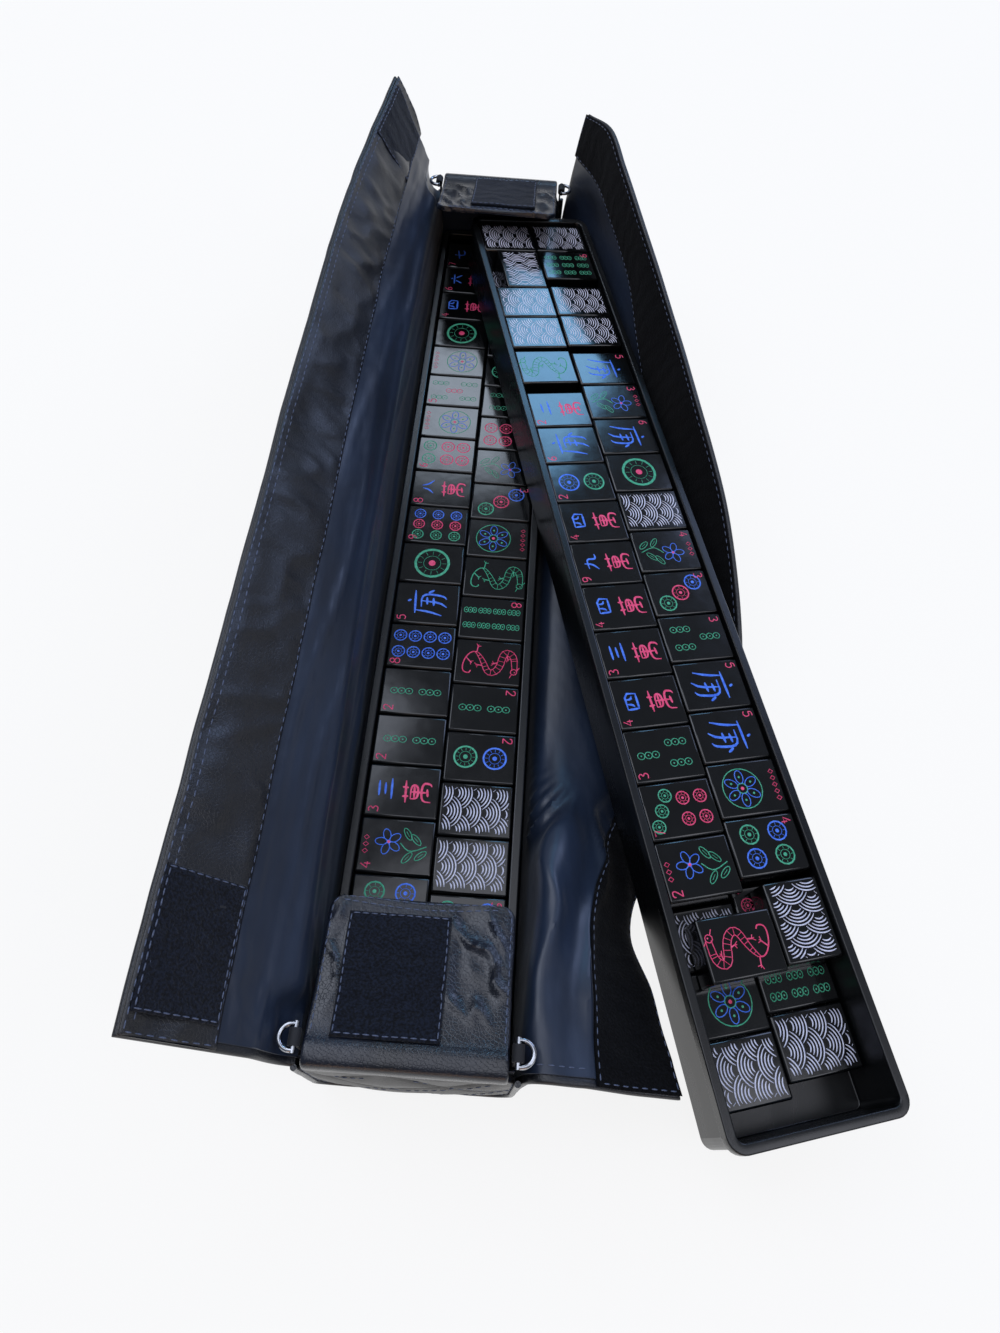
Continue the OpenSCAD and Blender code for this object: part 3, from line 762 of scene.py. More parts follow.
def right_folds(places):
    """Pushes the drape out into soft folds. They fan out from the nip, where the tray pinches the
    cloth, and a long wave runs along the flap that stands up. Near the tray they are held flat."""
    x, y, z = places[..., 0], places[..., 1], places[..., 2]
    angle, reach = np.arctan2(y - NIP_Y, x - NIP_X), np.hypot(y - NIP_Y, x - NIP_X)
    fan = np.cos(13 * angle + 1.6 * soft_noise(reach / 40, angle * 2, 5))
    fan = (1 - np.abs(fan)) ** 1.3
    near = ease((-y - 85) / 50) * ease((reach - 12) / 30) * ease((z - 12) / 20)
    near = near * (1 - 0.75 * ease((-y - 215) / 30))
    folds = 3.2 * near * (fan - 0.35) + 1.1 * near * soft_noise(x / 16, y / 34, 8)
    stand = ease((z - 40) / 30) * ease((y + 20) / 60)
    folds = folds + stand * 1.3 * soft_noise(y / 55, z / 60, 4)
    folds = folds * ease((z - 6) / 14)
    room = lifted_distance(places) - TRAY_ROOM
    return places + unit(raised(places)) * np.minimum(folds, np.maximum(room, -0.2))[..., None]


print("drape rows:", len(RIGHT_ROWS))

# %% [markdown]
# ## Skins with their quilting
# The outer skin is imitation leather over thin foam, stitched through in long diamonds, so it
# puffs up between the stitch lines. It is one sheet from the middle of the base, round a soft
# bottom corner, up the wall and out to the free edge of the flap. On the inside it is plain,
# because the lining covers it.


# %% Right skin
def fading_quilt(u, v):
    """Quilting on the outside of a side skin. It fades towards the edges and is not on the base."""
    edge = np.minimum.reduce([u, u[-1:] - u, v[:, -1:] - v])
    return -quilted()(u, v) * ease(edge / 7) * ease((v - 30) / 12) * 0.9


STATION_STEP, SKIN_BACK = 1.9, -2.7
SIDE_YS = spaced(-OUT_Y, OUT_Y, STATION_STEP)
right_base = right_folds(right_grid(SIDE_YS, 0, DRAPE_END, [24, 14, 26], with_base=True))
right_skin, _ = sewn_sheet("right_skin", right_base, bottom=SKIN_BACK, rim=1.2, back=fading_quilt)
finish_piece(right_skin, "case", SKIN,
             ("case_base", "right_wall", "right_fold", "right_flap"))
print("right skin:", len(right_skin.data.polygons), "faces")

# %% [markdown]
# ## The right lining and its loop strip
# The lining is thin woven nylon, so every fold of the side shows in it. It ends at a seam, where
# a wide strip of loop tape covers the rest of the flap. Both lie on the same folded surface.

# %% Right lining and strip
LINING_YS = spaced(-WALL_Y, WALL_Y, STATION_STEP)
lining_base = right_folds(right_grid(LINING_YS, 0, STRIP_START, [26, 14, 10]))
right_lining, lining_face = sewn_sheet("right_lining_cloth", lining_base, top=0.65, bottom=0.1, rim=0.25)
finish_piece(right_lining, "case", LINING, ("right_lining", "right_flap_lining"))

STRIP_YS = spaced(-OUT_Y + 0.4, OUT_Y - 0.4, STATION_STEP)
strip_base = right_folds(right_grid(STRIP_YS, STRIP_START, DRAPE_END, [18]))
right_strip, strip_face = sewn_sheet("right_loop_tape", strip_base, top=1.25, bottom=0.15, rim=0.6)
finish_piece(right_strip, "case", DARK_PILE, ("right_loop_strip",))

# %% [markdown]
# ## The left side of the case
# The left wall bulges outwards a little, and its flap stands half open. Wall, soft fold and flap
# are again one skin, so it is drawn as one path: a straight wall, a curve over the fold and a
# straight flap.

# %% Paths of the left side
FLAP_FROM = 11
# The left flap's opening angle in degrees at stations from -1 at the near end to 1 at the far end
LEFT_TURN = [(-1, 48), (-0.4, 50), (0.4, 52), (0.64, 57), (0.82, 64), (1, 70)]


CROWN_Z = 65.0


def left_angle(y):
    """The opening angle of the left flap at y, in radians above level."""
    return math.radians(float(joined(LEFT_TURN, y / OUT_Y)))


def on_flap(y, r, h):
    """A point of the left flap: r out from its fold and h above its middle plane."""
    a = left_angle(y)
    return np.array([LEFT_AXIS + r * math.cos(a) - h * math.sin(a),
                     CREASE_Z + r * math.sin(a) + h * math.cos(a)])


def left_path(y):
    """The fine path of the left side's inner face, with its lengths at the fold and the free edge."""
    bow = LEFT_BULGE * (1 - (y / OUT_Y) ** 2)
    end = float(ease((abs(y) - 224) / 10))
    top = np.array([WALL_X + bow * (56 - BASE_T) / (WALL_TOP_Z - BASE_T), 56])
    flap, edge = on_flap(y, FLAP_FROM, SKIN_T / 2), on_flap(y, FLAP_END, SKIN_T / 2)
    ahead = (edge - flap) / np.linalg.norm(edge - flap)
    first = (1 - end) * (top + [0, 7]) + end * np.array([45.5, 58])
    second = (1 - end) * (flap - 7 * ahead) + end * np.array([45.2, 67.5])
    t = np.linspace(0, 1, 40)[:, None]
    fold = bezier(top, first, second, flap, t)
    wall = np.array([[WALL_X, BASE_T], [WALL_X + bow * 0.12, CORNER_TOP_Z]])
    t = np.linspace(0, 1, 30)[1:-1, None]
    wall = np.concatenate([wall, wall[1] + t * (top - wall[1])])
    t = np.linspace(0, 1, 30)[1:, None]
    path = np.concatenate([wall, fold, flap + t * (edge - flap)])
    run = run_of(path)
    return path, run, run[len(wall)], run[len(wall) + 39]


def left_grid(ys, stop_keys, counts, with_base=False):
    """Places on the left side. A stop is foot, low, fold, flap or a distance out on the flap."""
    rows = []
    for y in ys:
        path, run, fold, flap = left_path(y)
        foot = np.interp(LINING_FOOT_Z, path[:20, 1], run[:20])
        span = {"foot": foot, "low": run[1], "fold": fold, "flap": flap}
        stops = [span[key] if key in span else flap + key - FLAP_FROM for key in stop_keys]
        xz = marked_path(path, np.array(stops), counts)
        if with_base:
            xz = from_base(xz)
        rows.append(np.stack([-xz[:, 0], np.full(len(xz), y), xz[:, 1]], axis=1))
    return np.array(rows)


def left_folds(places):
    """Soft waves of the left flap, and a low crown along its fold, which is what catches the light."""
    y, z = places[..., 1], places[..., 2]
    crown = 2.1 * np.exp(-((z - CROWN_Z) / 3.4) ** 2) * (1 - ease((np.abs(y) - 222) / 10))
    wave = 1.1 * soft_noise(y / 70, z / 60, 2) + 0.35 * soft_noise(y / 17, z / 20, 6)
    return places + unit(-raised(places)) * (crown + ease((z - 66) / 20) * wave)[..., None]


left_base = left_folds(left_grid(SIDE_YS, ("low", "fold", "flap", FLAP_END), [24, 10, 24],
                                 with_base=True))
left_skin, _ = sewn_sheet("left_skin", left_base, bottom=SKIN_BACK, rim=1.2, back=fading_quilt,
                          flip=True)
finish_piece(left_skin, None, SKIN, ("left_wall", "left_fold", "left_flap"))
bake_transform(left_skin)
print("left skin:", len(left_skin.data.polygons), "faces")

# %% [markdown]
# ## Lining, facing and loop patches of the left flap
# The lining runs up the wall, over the fold and out on the flap to a seam. From there a facing of
# the same leather covers the flap's border. It is thicker than the lining, and that step is the
# dark line that runs the whole length of the flap. Two loop patches lie on it at its ends.


# %% Left lining, facing and patches
def facing_wrinkles(u, v):
    """Short soft wrinkles across the facing, drawn in by its stitching."""
    inside = ease(v / 5) * ease((v[:, -1:] - v) / 7)
    pulled = (1 - np.abs(soft_noise(u / 13 + v / 30, v / 30, 13, 1))) ** 3
    small, large = soft_noise(u / 8, v / 22, 11), soft_noise(u / 26, v / 20, 12)
    return inside * (0.5 * small + 0.9 * large + 0.9 * pulled)


def long_folds(u, v):
    """Soft folds along a lining that is a little too wide, and shorter ones near its end hem."""
    inside = ease(v / 5) * ease((v[:, -1:] - v) / 5) * ease(u / 6)
    ridges = (1 - np.abs(soft_noise(u / 75 + v / 14, v / 11, 14, 1))) ** 4
    end = ease((60 - u) / 40) * (1 - np.abs(soft_noise(u / 16 - v / 13, v / 15, 15, 1))) ** 3
    return inside * (0.75 * ridges + 1.0 * end + 0.18 * soft_noise(u / 40, v / 4, 16))


left_lining_base = left_folds(left_grid(LINING_YS, ("foot", "fold", "flap", STRIP_FROM + 0.6),
                                        [26, 12, 8]))
left_lining, _ = sewn_sheet("left_lining_cloth", left_lining_base, top=0.65, bottom=0.1, rim=0.25,
                            flip=True, face=long_folds)
finish_piece(left_lining, None, LINING, ("left_lining", "left_flap_lining"))
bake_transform(left_lining)

facing_base = left_folds(left_grid(STRIP_YS, (STRIP_FROM, FLAP_END - 0.2), [20]))
left_facing, facing_face = sewn_sheet("left_facing_strip", facing_base, top=1.75, bottom=0.15, rim=1.0,
                                      face=facing_wrinkles, flip=True)
finish_piece(left_facing, "left_flap", SKIN, ("left_facing",))


def loop_patch(name, body, replaced, base, top=2.85, bottom=1.55, flip=True):
    """A patch of loop tape with a slightly uneven fuzz and rounded edges."""
    fuzz = lambda u, v: 0.12 * soft_noise(u / 3, v / 3, 21) + 0.2 * soft_noise(u / 11, v / 9, 22)
    patch, face = sewn_sheet(name, base, top=top, bottom=bottom, rim=0.7, face=fuzz, flip=flip)
    finish_piece(patch, body, PILE, replaced)
    return face


PATCH_L = 44
patch_faces = []
for side, low in (("near", -242.3), ("far", 198.3)):
    patch_ys = spaced(low, low + PATCH_L, 1.4)
    base = left_folds(left_grid(patch_ys, (STRIP_FROM + 1.5, FLAP_END - 1.5), [22]))
    patch_faces.append(loop_patch("left_%s_loop_patch" % side, "left_flap", ("left_patches",), base))
print("left flap pieces:", len(patch_faces) + 2)

# %% Seams of both sides
stitch_seams("left_facing_thread", border(facing_face, 1.7) + border(facing_face, 4.4, ("right",)),
             "left_flap", 3.8)
stitch_seams("left_patch_thread", border(patch_faces[0], 1.3) + border(patch_faces[1], 1.3),
             "left_flap", 3.2)
stitch_seams("right_tape_thread", border(strip_face, 1.5), "case", 3.8)
stitch_seams("right_hem_thread", [inset_line(lining_face, "start", 3.0)], "case", 3.8)
print("seams of both sides made")

# %% [markdown]
# ## The two ends of the case
# Each end is one padded panel: it stands up as the end wall, folds over and lies on the trays as an
# end flap. The wall part is quilted and bulges between the welts at its corners. Each panel is a
# grid on a path that goes up and over, narrowed to rounded corners at its bottom and free edge.

# %% Paths of the ends
END_HALF, END_CORNER = IN_X - 2.6, 5
WALL_QUILT_TOP = 56
# Each end: its side of the case, how far its flap leans up and the middle of its patch
ENDS = {"near": (-1, math.radians(-8), -7.5), "far": (1, math.radians(15), 3.5)}


def end_path(lean):
    """Distances from the case's middle and heights of an end panel's outer face, from bottom up."""
    inward = np.array([-math.cos(lean), math.sin(lean)])
    over = np.array([math.sin(lean), math.cos(lean)])
    axis = np.array([END_AXIS, CREASE_Z])
    wall = [[OUT_Y, z] for z in np.linspace(0.6, 52, 8)]
    fold = [[OUT_Y + 0.9, 58.5], [OUT_Y + 1.3, 63.5], [OUT_Y - 0.2, 67.4]]
    flap = [axis + r * inward + h * over for r, h in ((4.0, 3.1), (8, 1.9), (13, 1.45))]
    flap += [axis + r * inward + SKIN_T / 2 * over for r in np.linspace(19, 57, 7)]
    path = through(wall + fold + flap, np.linspace(0, len(wall + fold + flap) - 1, 400))
    run = run_of(path)
    return path, run


def half_width(z, to_edge, on_wall):
    """Half the panel's width: rounded at the bottom, narrower over the fold, rounded at the edge."""
    low = np.clip(CORNER_TOP_Z - z, 0, BASE_RADIUS)
    bottom = 30.2 + np.sqrt(np.maximum(BASE_RADIUS ** 2 - low ** 2, 0))
    wall = bottom - (WALL_X - END_HALF - 0.1) * ease((z - 50) / 10)
    corner = np.clip(END_CORNER - to_edge, 0, END_CORNER)
    flap = END_HALF - END_CORNER + np.sqrt(np.maximum(END_CORNER ** 2 - corner ** 2, 0))
    return np.where(on_wall, wall, flap)


def end_grid(sign, lean, first, last, xs, step=1.1, half=None, around=0.0):
    """Places on an end panel. sign is -1 at the near end and 1 at the far end. xs run from -1 to 1,
    or are distances from around if half is given. first and last are lengths from the free edge,
    or None for the bottom."""
    path, run = end_path(lean)
    low = 0 if first is None else run[-1] - first
    marks = spaced(low, run[-1] - last, step)
    d, z = np.interp(marks, run, path[:, 0]), np.interp(marks, run, path[:, 1])
    on_wall = (d > OUT_Y - 3) & (z < 61)
    width = half_width(z, run[-1] - marks, on_wall) if half is None else np.full(len(marks), half)
    x = around + np.outer(width, xs) * -sign
    swell = np.where(on_wall, 1, 0) * np.sin(np.clip(z / 57, 0, 1) * math.pi) ** 0.6
    bulge = 3.2 * swell[:, None] * (1 - np.minimum(np.abs(x) / 38, 1) ** 2.6)
    return np.stack([x, sign * (d[:, None] + bulge), np.broadcast_to(z[:, None], x.shape)], axis=2)


def end_flap_waves(places, sign, lean, middle):
    """The flap sags between its stitched patch and its hems, and its loose borders crumple."""
    x, y, z = places[..., 0], places[..., 1], places[..., 2]
    inside = ease((END_AXIS - 10 - np.abs(y)) / 14)
    loose = ease((np.abs(x - middle) - 17) / 6)
    creases = (1 - np.abs(soft_noise((x + 0.6 * y) / 9, (x - y) / 26, 32))) ** 3
    high = inside * loose * (0.7 * soft_noise(x / 8, y / 14, 31) + 2.2 * creases - 0.6)
    hems = ease((END_HALF - np.abs(x)) / 7) * ease((57 - (END_AXIS - np.abs(y)) / math.cos(lean)) / 8)
    high = high * (0.2 + 0.8 * hems)
    high = high - inside * ease((np.abs(x) - 27) / 9) ** 2 * 1.2
    high = high + inside * 0.4 * soft_noise(x / 30, y / 30, 33)
    return places + high[..., None] * np.array([0, -sign * math.sin(lean), math.cos(lean)])


def end_quilt(u, v):
    """Quilting of the end wall alone, with its long diamonds level."""
    edge = np.minimum(v, v[:, -1:] - v)
    height = quilted(depth=0.35, puff=1.25)(v - v[:, -1:] / 2 + 8, u - 4)
    return height * ease(edge / 6) * ease(u / 8) * ease((60 - u) / 8)


# %% End panels
def where(lines, kept):
    """The parts of some lines whose places pass a test."""
    return [(line[kept(line)], up[kept(line)]) for line, up in lines]


for side, (sign, lean, middle) in ENDS.items():
    xs = spaced(-1, 1, 0.03, rim=0.05)
    base = end_flap_waves(end_grid(sign, lean, None, 0, xs), sign, lean, middle)
    panel, face = sewn_sheet(side + "_end_panel", base, bottom=-2.6, rim=1.2, face=end_quilt)
    finish_piece(panel, None, GLOSSY_SKIN, [side + n for n in ("_wall", "_fold", "_flap")])
    # Below the quilting's top the wall takes the brown-tinted copy of the leather: painted warm light on
    # the end wall
    panel.data.materials.append(WARM_LIGHT_PAINTED_SKIN)
    for polygon in panel.data.polygons:
        polygon.material_index = int(polygon.center[2] < WALL_QUILT_TOP * MM)
    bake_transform(panel)
    print(panel.name, len(panel.data.polygons), "faces")
    base = end_grid(sign, lean, 50, 6, spaced(-1, 1, 0.08, rim=0.1), step=1.4, half=18.5, around=middle)
    patch_face = loop_patch(side + "_flap_loop_patch", side + "_flap", (side + "_flap_patch",),
                            end_flap_waves(base, sign, lean, middle), top=1.35, bottom=0.05, flip=False)
    sides = ("left", "right")
    flap_seams = [inset_line(face, "end", inset, 4) for inset in (2.0, 4.4)]
    flap_seams += where(border(face, 2.4, sides), lambda line: np.abs(line[:, 1]) < END_AXIS - 8)
    stitch_seams(side + "_flap_thread", flap_seams + border(patch_face, 1.3), side + "_flap",
                 3.2)
    wall_seams = quilt_lines(face, (-60, 90), (3, 52), 8 - 37.4, -4)
    wall_seams += where([inset_line(face, edge, 1.8, 6) for edge in sides], lambda line: line[:, 2] < 55)
    stitch_seams(side + "_wall_thread", wall_seams, "case", 3.6)

# %% [markdown]
# ## Linings of the ends and the floor
# The same nylon lines the end walls and the floor. These parts are nearly hidden by the trays, but
# they show when the trays are lifted out, so they get soft waves and rounded edges too.


# %% End and floor linings
def flat_grid(us, vs, place):
    """A grid of places from a function of two numbers."""
    return np.array([[place(u, v) for v in vs] for u in us])


for side, (sign, _, _) in ENDS.items():
    us, vs = spaced(LINING_FOOT_Z, 57, 2.5), spaced(-IN_X + 0.3, IN_X - 0.3, 2.5)
    base = flat_grid(us, vs, lambda u, v: (v * -sign, sign * WALL_Y, u))
    base[..., 1] -= sign * 0.15 * (1 + soft_noise(base[..., 0] / 20, base[..., 2] / 15, 41))
    lining, _ = sewn_sheet(side + "_lining_cloth", base, top=-0.15, bottom=-0.5, rim=0.15)
    finish_piece(lining, "case", LINING, (side + "_lining",))
base = flat_grid(spaced(-IN_Y + 0.3, IN_Y - 0.3, 4), spaced(-IN_X + 0.5, IN_X - 0.5, 3),
                 lambda u, v: (v, u, 4.05))
floor_lining, _ = sewn_sheet("floor_lining_cloth", base, top=0.5, bottom=0, rim=0.2,
                             face=lambda u, v: -0.1 + 0.1 * soft_noise(u / 30, v / 20, 44))
finish_piece(floor_lining, "case", LINING, ("floor_lining",))

# %% [markdown]
# ## Welts at the ends
# A welt is a cord in a strip of leather, sewn into the seam between an end panel and the side skin.
# It runs down one corner, along the bottom and up the other. A curve with a round bevel gives the
# cord, and turning it into a mesh lets it take the same leather.


# %% Welts
def welt(name, points, radius):
    """A round cord along points, in millimetres, as a mesh with closed ends."""
    curve = added(bpy.ops.curve.primitive_nurbs_path_add, name)
    curve.data.splines.clear()
    spline = curve.data.splines.new("POLY")
    spline.points.add(len(points) - 1)
    weighted = np.concatenate([points * MM, np.ones((len(points), 1))], axis=1)
    spline.points.foreach_set("co", weighted.ravel())
    curve.data.bevel_depth, curve.data.bevel_resolution = radius * MM, 3
    curve.data.use_fill_caps = True
    only(curve)
    bpy.ops.object.convert(target="MESH")
    turn_outwards(curve, merge_mm=0.01)
    return curve


for side, (sign, _, _) in ENDS.items():
    turn = [(30.6 + BASE_RADIUS * math.sin(a), 9.4 - BASE_RADIUS * math.cos(a))
            for a in np.linspace(0, math.pi / 2, 10)]
    half = np.array([(x, 1.9) for x in np.linspace(0, 28, 12)] + turn
                    + [(37.9, z) for z in np.linspace(13, 56, 18)])
    outline = np.concatenate([half[::-1] * [-1, 1], half[1:]])
    wobble = 0.15 * soft_noise(outline[:, 0] / 9, outline[:, 1] / 9, 51)
    points = np.stack([outline[:, 0], np.full(len(outline), sign * (OUT_Y + 0.35)) + wobble,
                       np.maximum(outline[:, 1], 1.25)], axis=1)
    cord = welt(side + "_end_welt", points, 1.15)
    finish_piece(cord, "case", GLOSSY_SKIN, ("corner_piping",))
print("welts made")

# %% [markdown]
# ## Rings and tabs
# The four D-rings and their webbing tabs keep the CAD's shapes, which are already round wire and
# folded strips, and so does the board in the base. They only need their real finishes: plated
# wire, woven webbing and pressed board.

# %% Finishes of the kept nodes
for node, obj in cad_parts.items():
    kept = NICKEL if node.startswith("ring_") else None
    kept = {"ring_tabs": WEBBING, "base_board": BOARD}.get(node, kept)
    if kept:
        obj.data.materials.clear()
        obj.data.materials.append(kept)

# %% [markdown]
# ## A tray
# Both trays are the same moulding: a long shallow box of thin plastic with a stepped lip. One is
# made from a cube whose upright edges are rounded. Its top is inset and pushed down for the well,
# and a band at the top is pushed out for the lip. A small bevel then breaks every edge, as on any
# moulded part, and that is what draws the fine light lines along the rims.


# %% Tray
def pick(obj, mode, test):
    """Selects the faces or edges of obj whose middle and normal pass a test, in edit mode."""
    bpy.ops.object.mode_set(mode="EDIT")
    bpy.ops.mesh.select_mode(type="FACE" if mode == "faces" else "EDGE")
    bpy.ops.mesh.select_all(action="DESELECT")
    bpy.ops.object.mode_set(mode="OBJECT")
    mesh = obj.data
    if mode == "faces":
        for face in mesh.polygons:
            face.select = bool(test(np.array(face.center) / MM, np.array(face.normal)))
    else:
        for edge in mesh.edges:
            a, b = (np.array(mesh.vertices[i].co) / MM for i in edge.vertices)
            edge.select = bool(test((a + b) / 2, b - a))
    bpy.ops.object.mode_set(mode="EDIT")


def smooth_edges(obj, degrees, flat_area):
    """Smooth shading on the rounded edges, while large faces stay flat as mirrors do."""
    only(obj)
    bpy.ops.object.shade_smooth_by_angle(angle=math.radians(degrees))
    for polygon in obj.data.polygons:
        if polygon.area > flat_area * MM * MM:
            polygon.use_smooth = False


def make_tray(name):
    """The moulded tray at the origin of its own frame."""
    obj = added(bpy.ops.mesh.primitive_cube_add, name, size=1)
    set_points(obj, get_points(obj) * MM * [BODY_W, BODY_L, TRAY_H] + [0, 0, TRAY_H / 2])
    pick(obj, "edges", lambda middle, run: abs(run[2]) > 1)
    bpy.ops.mesh.bevel(offset=4.6 * MM, segments=6, affect="EDGES")
    bpy.ops.object.mode_set(mode="OBJECT")
    pick(obj, "faces", lambda middle, normal: normal[2] > 0.9)
    bpy.ops.mesh.inset(thickness=TRAY_WALL * MM)
    bpy.ops.mesh.extrude_region_move(TRANSFORM_OT_translate={"value": (0, 0, (TRAY_FLOOR - TRAY_H) * MM)})
    bpy.ops.mesh.select_all(action="SELECT")
    bpy.ops.mesh.bisect(plane_co=(0, 0, (TRAY_H - LIP_H) * MM), plane_no=(0, 0, 1))
    bpy.ops.object.mode_set(mode="OBJECT")

    def on_lip(middle, normal):
        outwards = normal[0] * middle[0] + normal[1] * middle[1] > 0
        return middle[2] > TRAY_H - LIP_H and abs(normal[2]) < 0.1 and outwards

    pick(obj, "faces", on_lip)
    bpy.ops.mesh.extrude_region_shrink_fatten(TRANSFORM_OT_shrink_fatten={
        "value": LIP_OUT * MM, "use_even_offset": True})
    bpy.ops.mesh.select_all(action="SELECT")
    bpy.ops.mesh.normals_make_consistent(inside=False)
    bpy.ops.object.mode_set(mode="OBJECT")
    apply_modifier(obj, "BEVEL", width=0.55 * MM, segments=3, limit_method="ANGLE",
                   angle_limit=math.radians(35))
    smooth_edges(obj, 30, 100)
    return obj


lower_tray = make_tray("lower_tray_moulding")
points = get_points(lower_tray)
reach = [np.ptp(points[:, k]) for k in range(3)]
print("tray: %.1f x %.1f x %.1f mm, %d faces" % (*reach, len(lower_tray.data.polygons)))
upper_tray = lower_tray.copy()
upper_tray.data = lower_tray.data.copy()
upper_tray.name = "upper_tray_moulding"
bpy.context.scene.collection.objects.link(upper_tray)
set_points(lower_tray, points + [0, 0, LOWER_Z])
set_points(upper_tray, points @ LIFTED[:3, :3].T + LIFTED[:3, 3])
finish_piece(lower_tray, "lower_tray", ABS, ("lower_tray",))
finish_piece(upper_tray, "upper_tray", ABS, ("upper_tray",))
print("trays placed")

# %% [markdown]
# ## Tiles
# A tile is a small block of polished resin with a fine rounded edge. The edge is what shows between
# black tiles, as a thin light line, so it is modelled. There are nearly a hundred and fifty tiles,
# so one is made with few faces and copied into one mesh for each CAD node.


# %% One tile
def make_tile():
    """Points and faces of a tile that lies face up, with its middle at the origin."""
    obj = added(bpy.ops.mesh.primitive_cube_add, "tile", size=1)
    set_points(obj, get_points(obj) * MM * [TILE_L, TILE_W, TILE_T])
    apply_modifier(obj, "BEVEL", width=1.0 * MM, segments=3, limit_method="NONE")
    points, faces = get_points(obj), [list(p.vertices) for p in obj.data.polygons]
    bpy.data.objects.remove(obj)
    return points, faces


TILE_POINTS, TILE_FACES = make_tile()
print("tile faces:", len(TILE_FACES))


# %% Where the tiles lie
# Free length at the far end of each column, by tray and side
SLACK = {("lower", -1): 7.0, ("lower", 1): 13.0, ("upper", -1): 16.3, ("upper", 1): 11.5}
COLUMN_X = TILE_L / 2 + TILE_GAP / 2
LAYER_GAP, TILE_ROWS = 0.05, 19
TOP_Z = TRAY_FLOOR + LAYER_GAP + TILE_T / 2 + TILE_T + LAYER_GAP

# The rows of the lifted tray nearest its far end have slid towards it: (rows before, slack)
SLID = {-1: ((2, 0.4), (4, 7.7), (5, 9.8)), 1: ((2, 0.4), (4, 6.5))}
DEEP_SLID = ((3, 0.4),)


def row_y(level, side, k, layer):
    """y of the k-th tile of a column, counted from the far end, in its tray's frame."""
    slack = SLACK[(level, side)]
    if level == "upper":
        slack = next((free for end, free in (SLID[side] if layer else DEEP_SLID) if k < end), slack)
    return TRAY_IN_L / 2 - slack - TILE_W / 2 - k * PITCH


def tile_place(level, side, k, layer):
    """Middle of a tile in its tray's frame."""
    z = TOP_Z - (1 - layer) * (TILE_T + LAYER_GAP)
    return np.array([side * COLUMN_X, row_y(level, side, k, layer), z])


TOP_FAR_Y = TRAY_IN_L / 2 - SLID[-1][1][1] - 2 * PITCH
TOP_NEAR_Y = TRAY_IN_L / 2 - SLACK[("upper", 1)] - 16 * PITCH
RIGHT_EDGE = TRAY_IN_W / 2 - TILE_GAP / 2
# The loose tiles: x, y and turn in degrees, in the lifted tray's frame
LOOSE = {
    "turned_far_tile": (-TILE_W / 2 - TILE_GAP, TOP_FAR_Y + TILE_L / 2 + TILE_GAP, 90),
    "dragon_tile": (RIGHT_EDGE - TILE_W - 0.4 - TILE_L / 2, TOP_NEAR_Y - TILE_W / 2 - 11.5, 0),
    "turned_near_tile": (RIGHT_EDGE - TILE_W / 2, TOP_NEAR_Y - TILE_L / 2 - 2.5, 90),
}


def tiles_of(node):
    """For each tile of a node: its middle, its turn in degrees and the code of its face."""
    level, group = node.split("_")[:2]
    if node in LOOSE:
        x, y, turn = LOOSE[node]
        return [(np.array([x, y, TOP_Z]), turn, LOOSE_FACES[node])]
    out = []
    for side in (-1, 1):
        first_open = 5 if side < 0 else 9
        spans = {"deep": (0, TILE_ROWS), "covered": (0, first_open), "open": (first_open, TILE_ROWS),
                 "top": (2, 16)}
        picked = [(k, int(group != "deep")) for k in range(*spans[group])]
        if node == "upper_deep_tiles":
            picked += [(k, 1) for k in range(1 if side < 0 else 2)]
        for k, layer in picked:
            column = FACES.get((level, side, layer), "").split()
            code = column[k] if k < len(column) and column[k] != "-" else None
            out.append((tile_place(level, side, k, layer), 0 if side < 0 else 180, code))
    return out


# %% [markdown]
# ## Marks on the tiles
# Each tile's face is engraved and painted: circles, bamboo sticks, brush strokes with numerals,
# dragons and flowers, and a wave pattern on the backs. A painted line is drawn as a narrow ribbon
# with a low ridge, so that it catches the light as enamel does. Every mark is a short list of such
# ribbons on a face 23.6 mm wide and 31 mm tall, and it is turned onto its tile later.


# %% Ribbons, discs and rings
PINK_ID, GREEN_ID, BLUE_ID, PALE_ID = 1, 2, 3, 4


LOW, RIDGE = -0.02, 0.12


def rounded(line, times=2):
    """A smooth line through a few corners, made by cutting them off."""
    for _ in range(times):
        line = cut_corners(line)
    return line


def ribbon(line, width, kind, closed=False, taper=0.0):
    """A painted line: points, faces and paint. taper narrows its two ends."""
    p = np.asarray(line, float)
    n = len(p)
    ahead = (np.roll(p, -1, 0) - np.roll(p, 1, 0)) if closed else np.gradient(p, axis=0)
    ahead = ahead / np.maximum(np.linalg.norm(ahead, axis=1), 1e-6)[:, None]
    side = np.stack([-ahead[:, 1], ahead[:, 0]], axis=1)
    t = np.linspace(0, 1, n)
    wide = width / 2 * (1 - taper * np.abs(2 * t - 1) ** 3)[:, None]
    flat = lambda q, z: np.concatenate([q, np.full((n, 1), z)], axis=1)
    points = np.concatenate([flat(p + side * wide, LOW), flat(p, RIDGE), flat(p - side * wide, LOW)])
    faces = []
    for i in range(n if closed else n - 1):
        j = (i + 1) % n
        faces += [[i, n + i, n + j, j], [n + i, 2 * n + i, 2 * n + j, n + j]]
    return points, faces, kind


def ring(x, y, r, width, kind, steps=16, squash=1.0, turn=0.0):
    """A painted circle or oval."""
    a = np.linspace(0, 2 * math.pi, steps, endpoint=False)
    p = np.stack([r * squash * np.cos(a), r * np.sin(a)], axis=1)
    c, s = math.cos(turn), math.sin(turn)
    return ribbon(p @ np.array([[c, s], [-s, c]]) + [x, y], width, kind, closed=True)


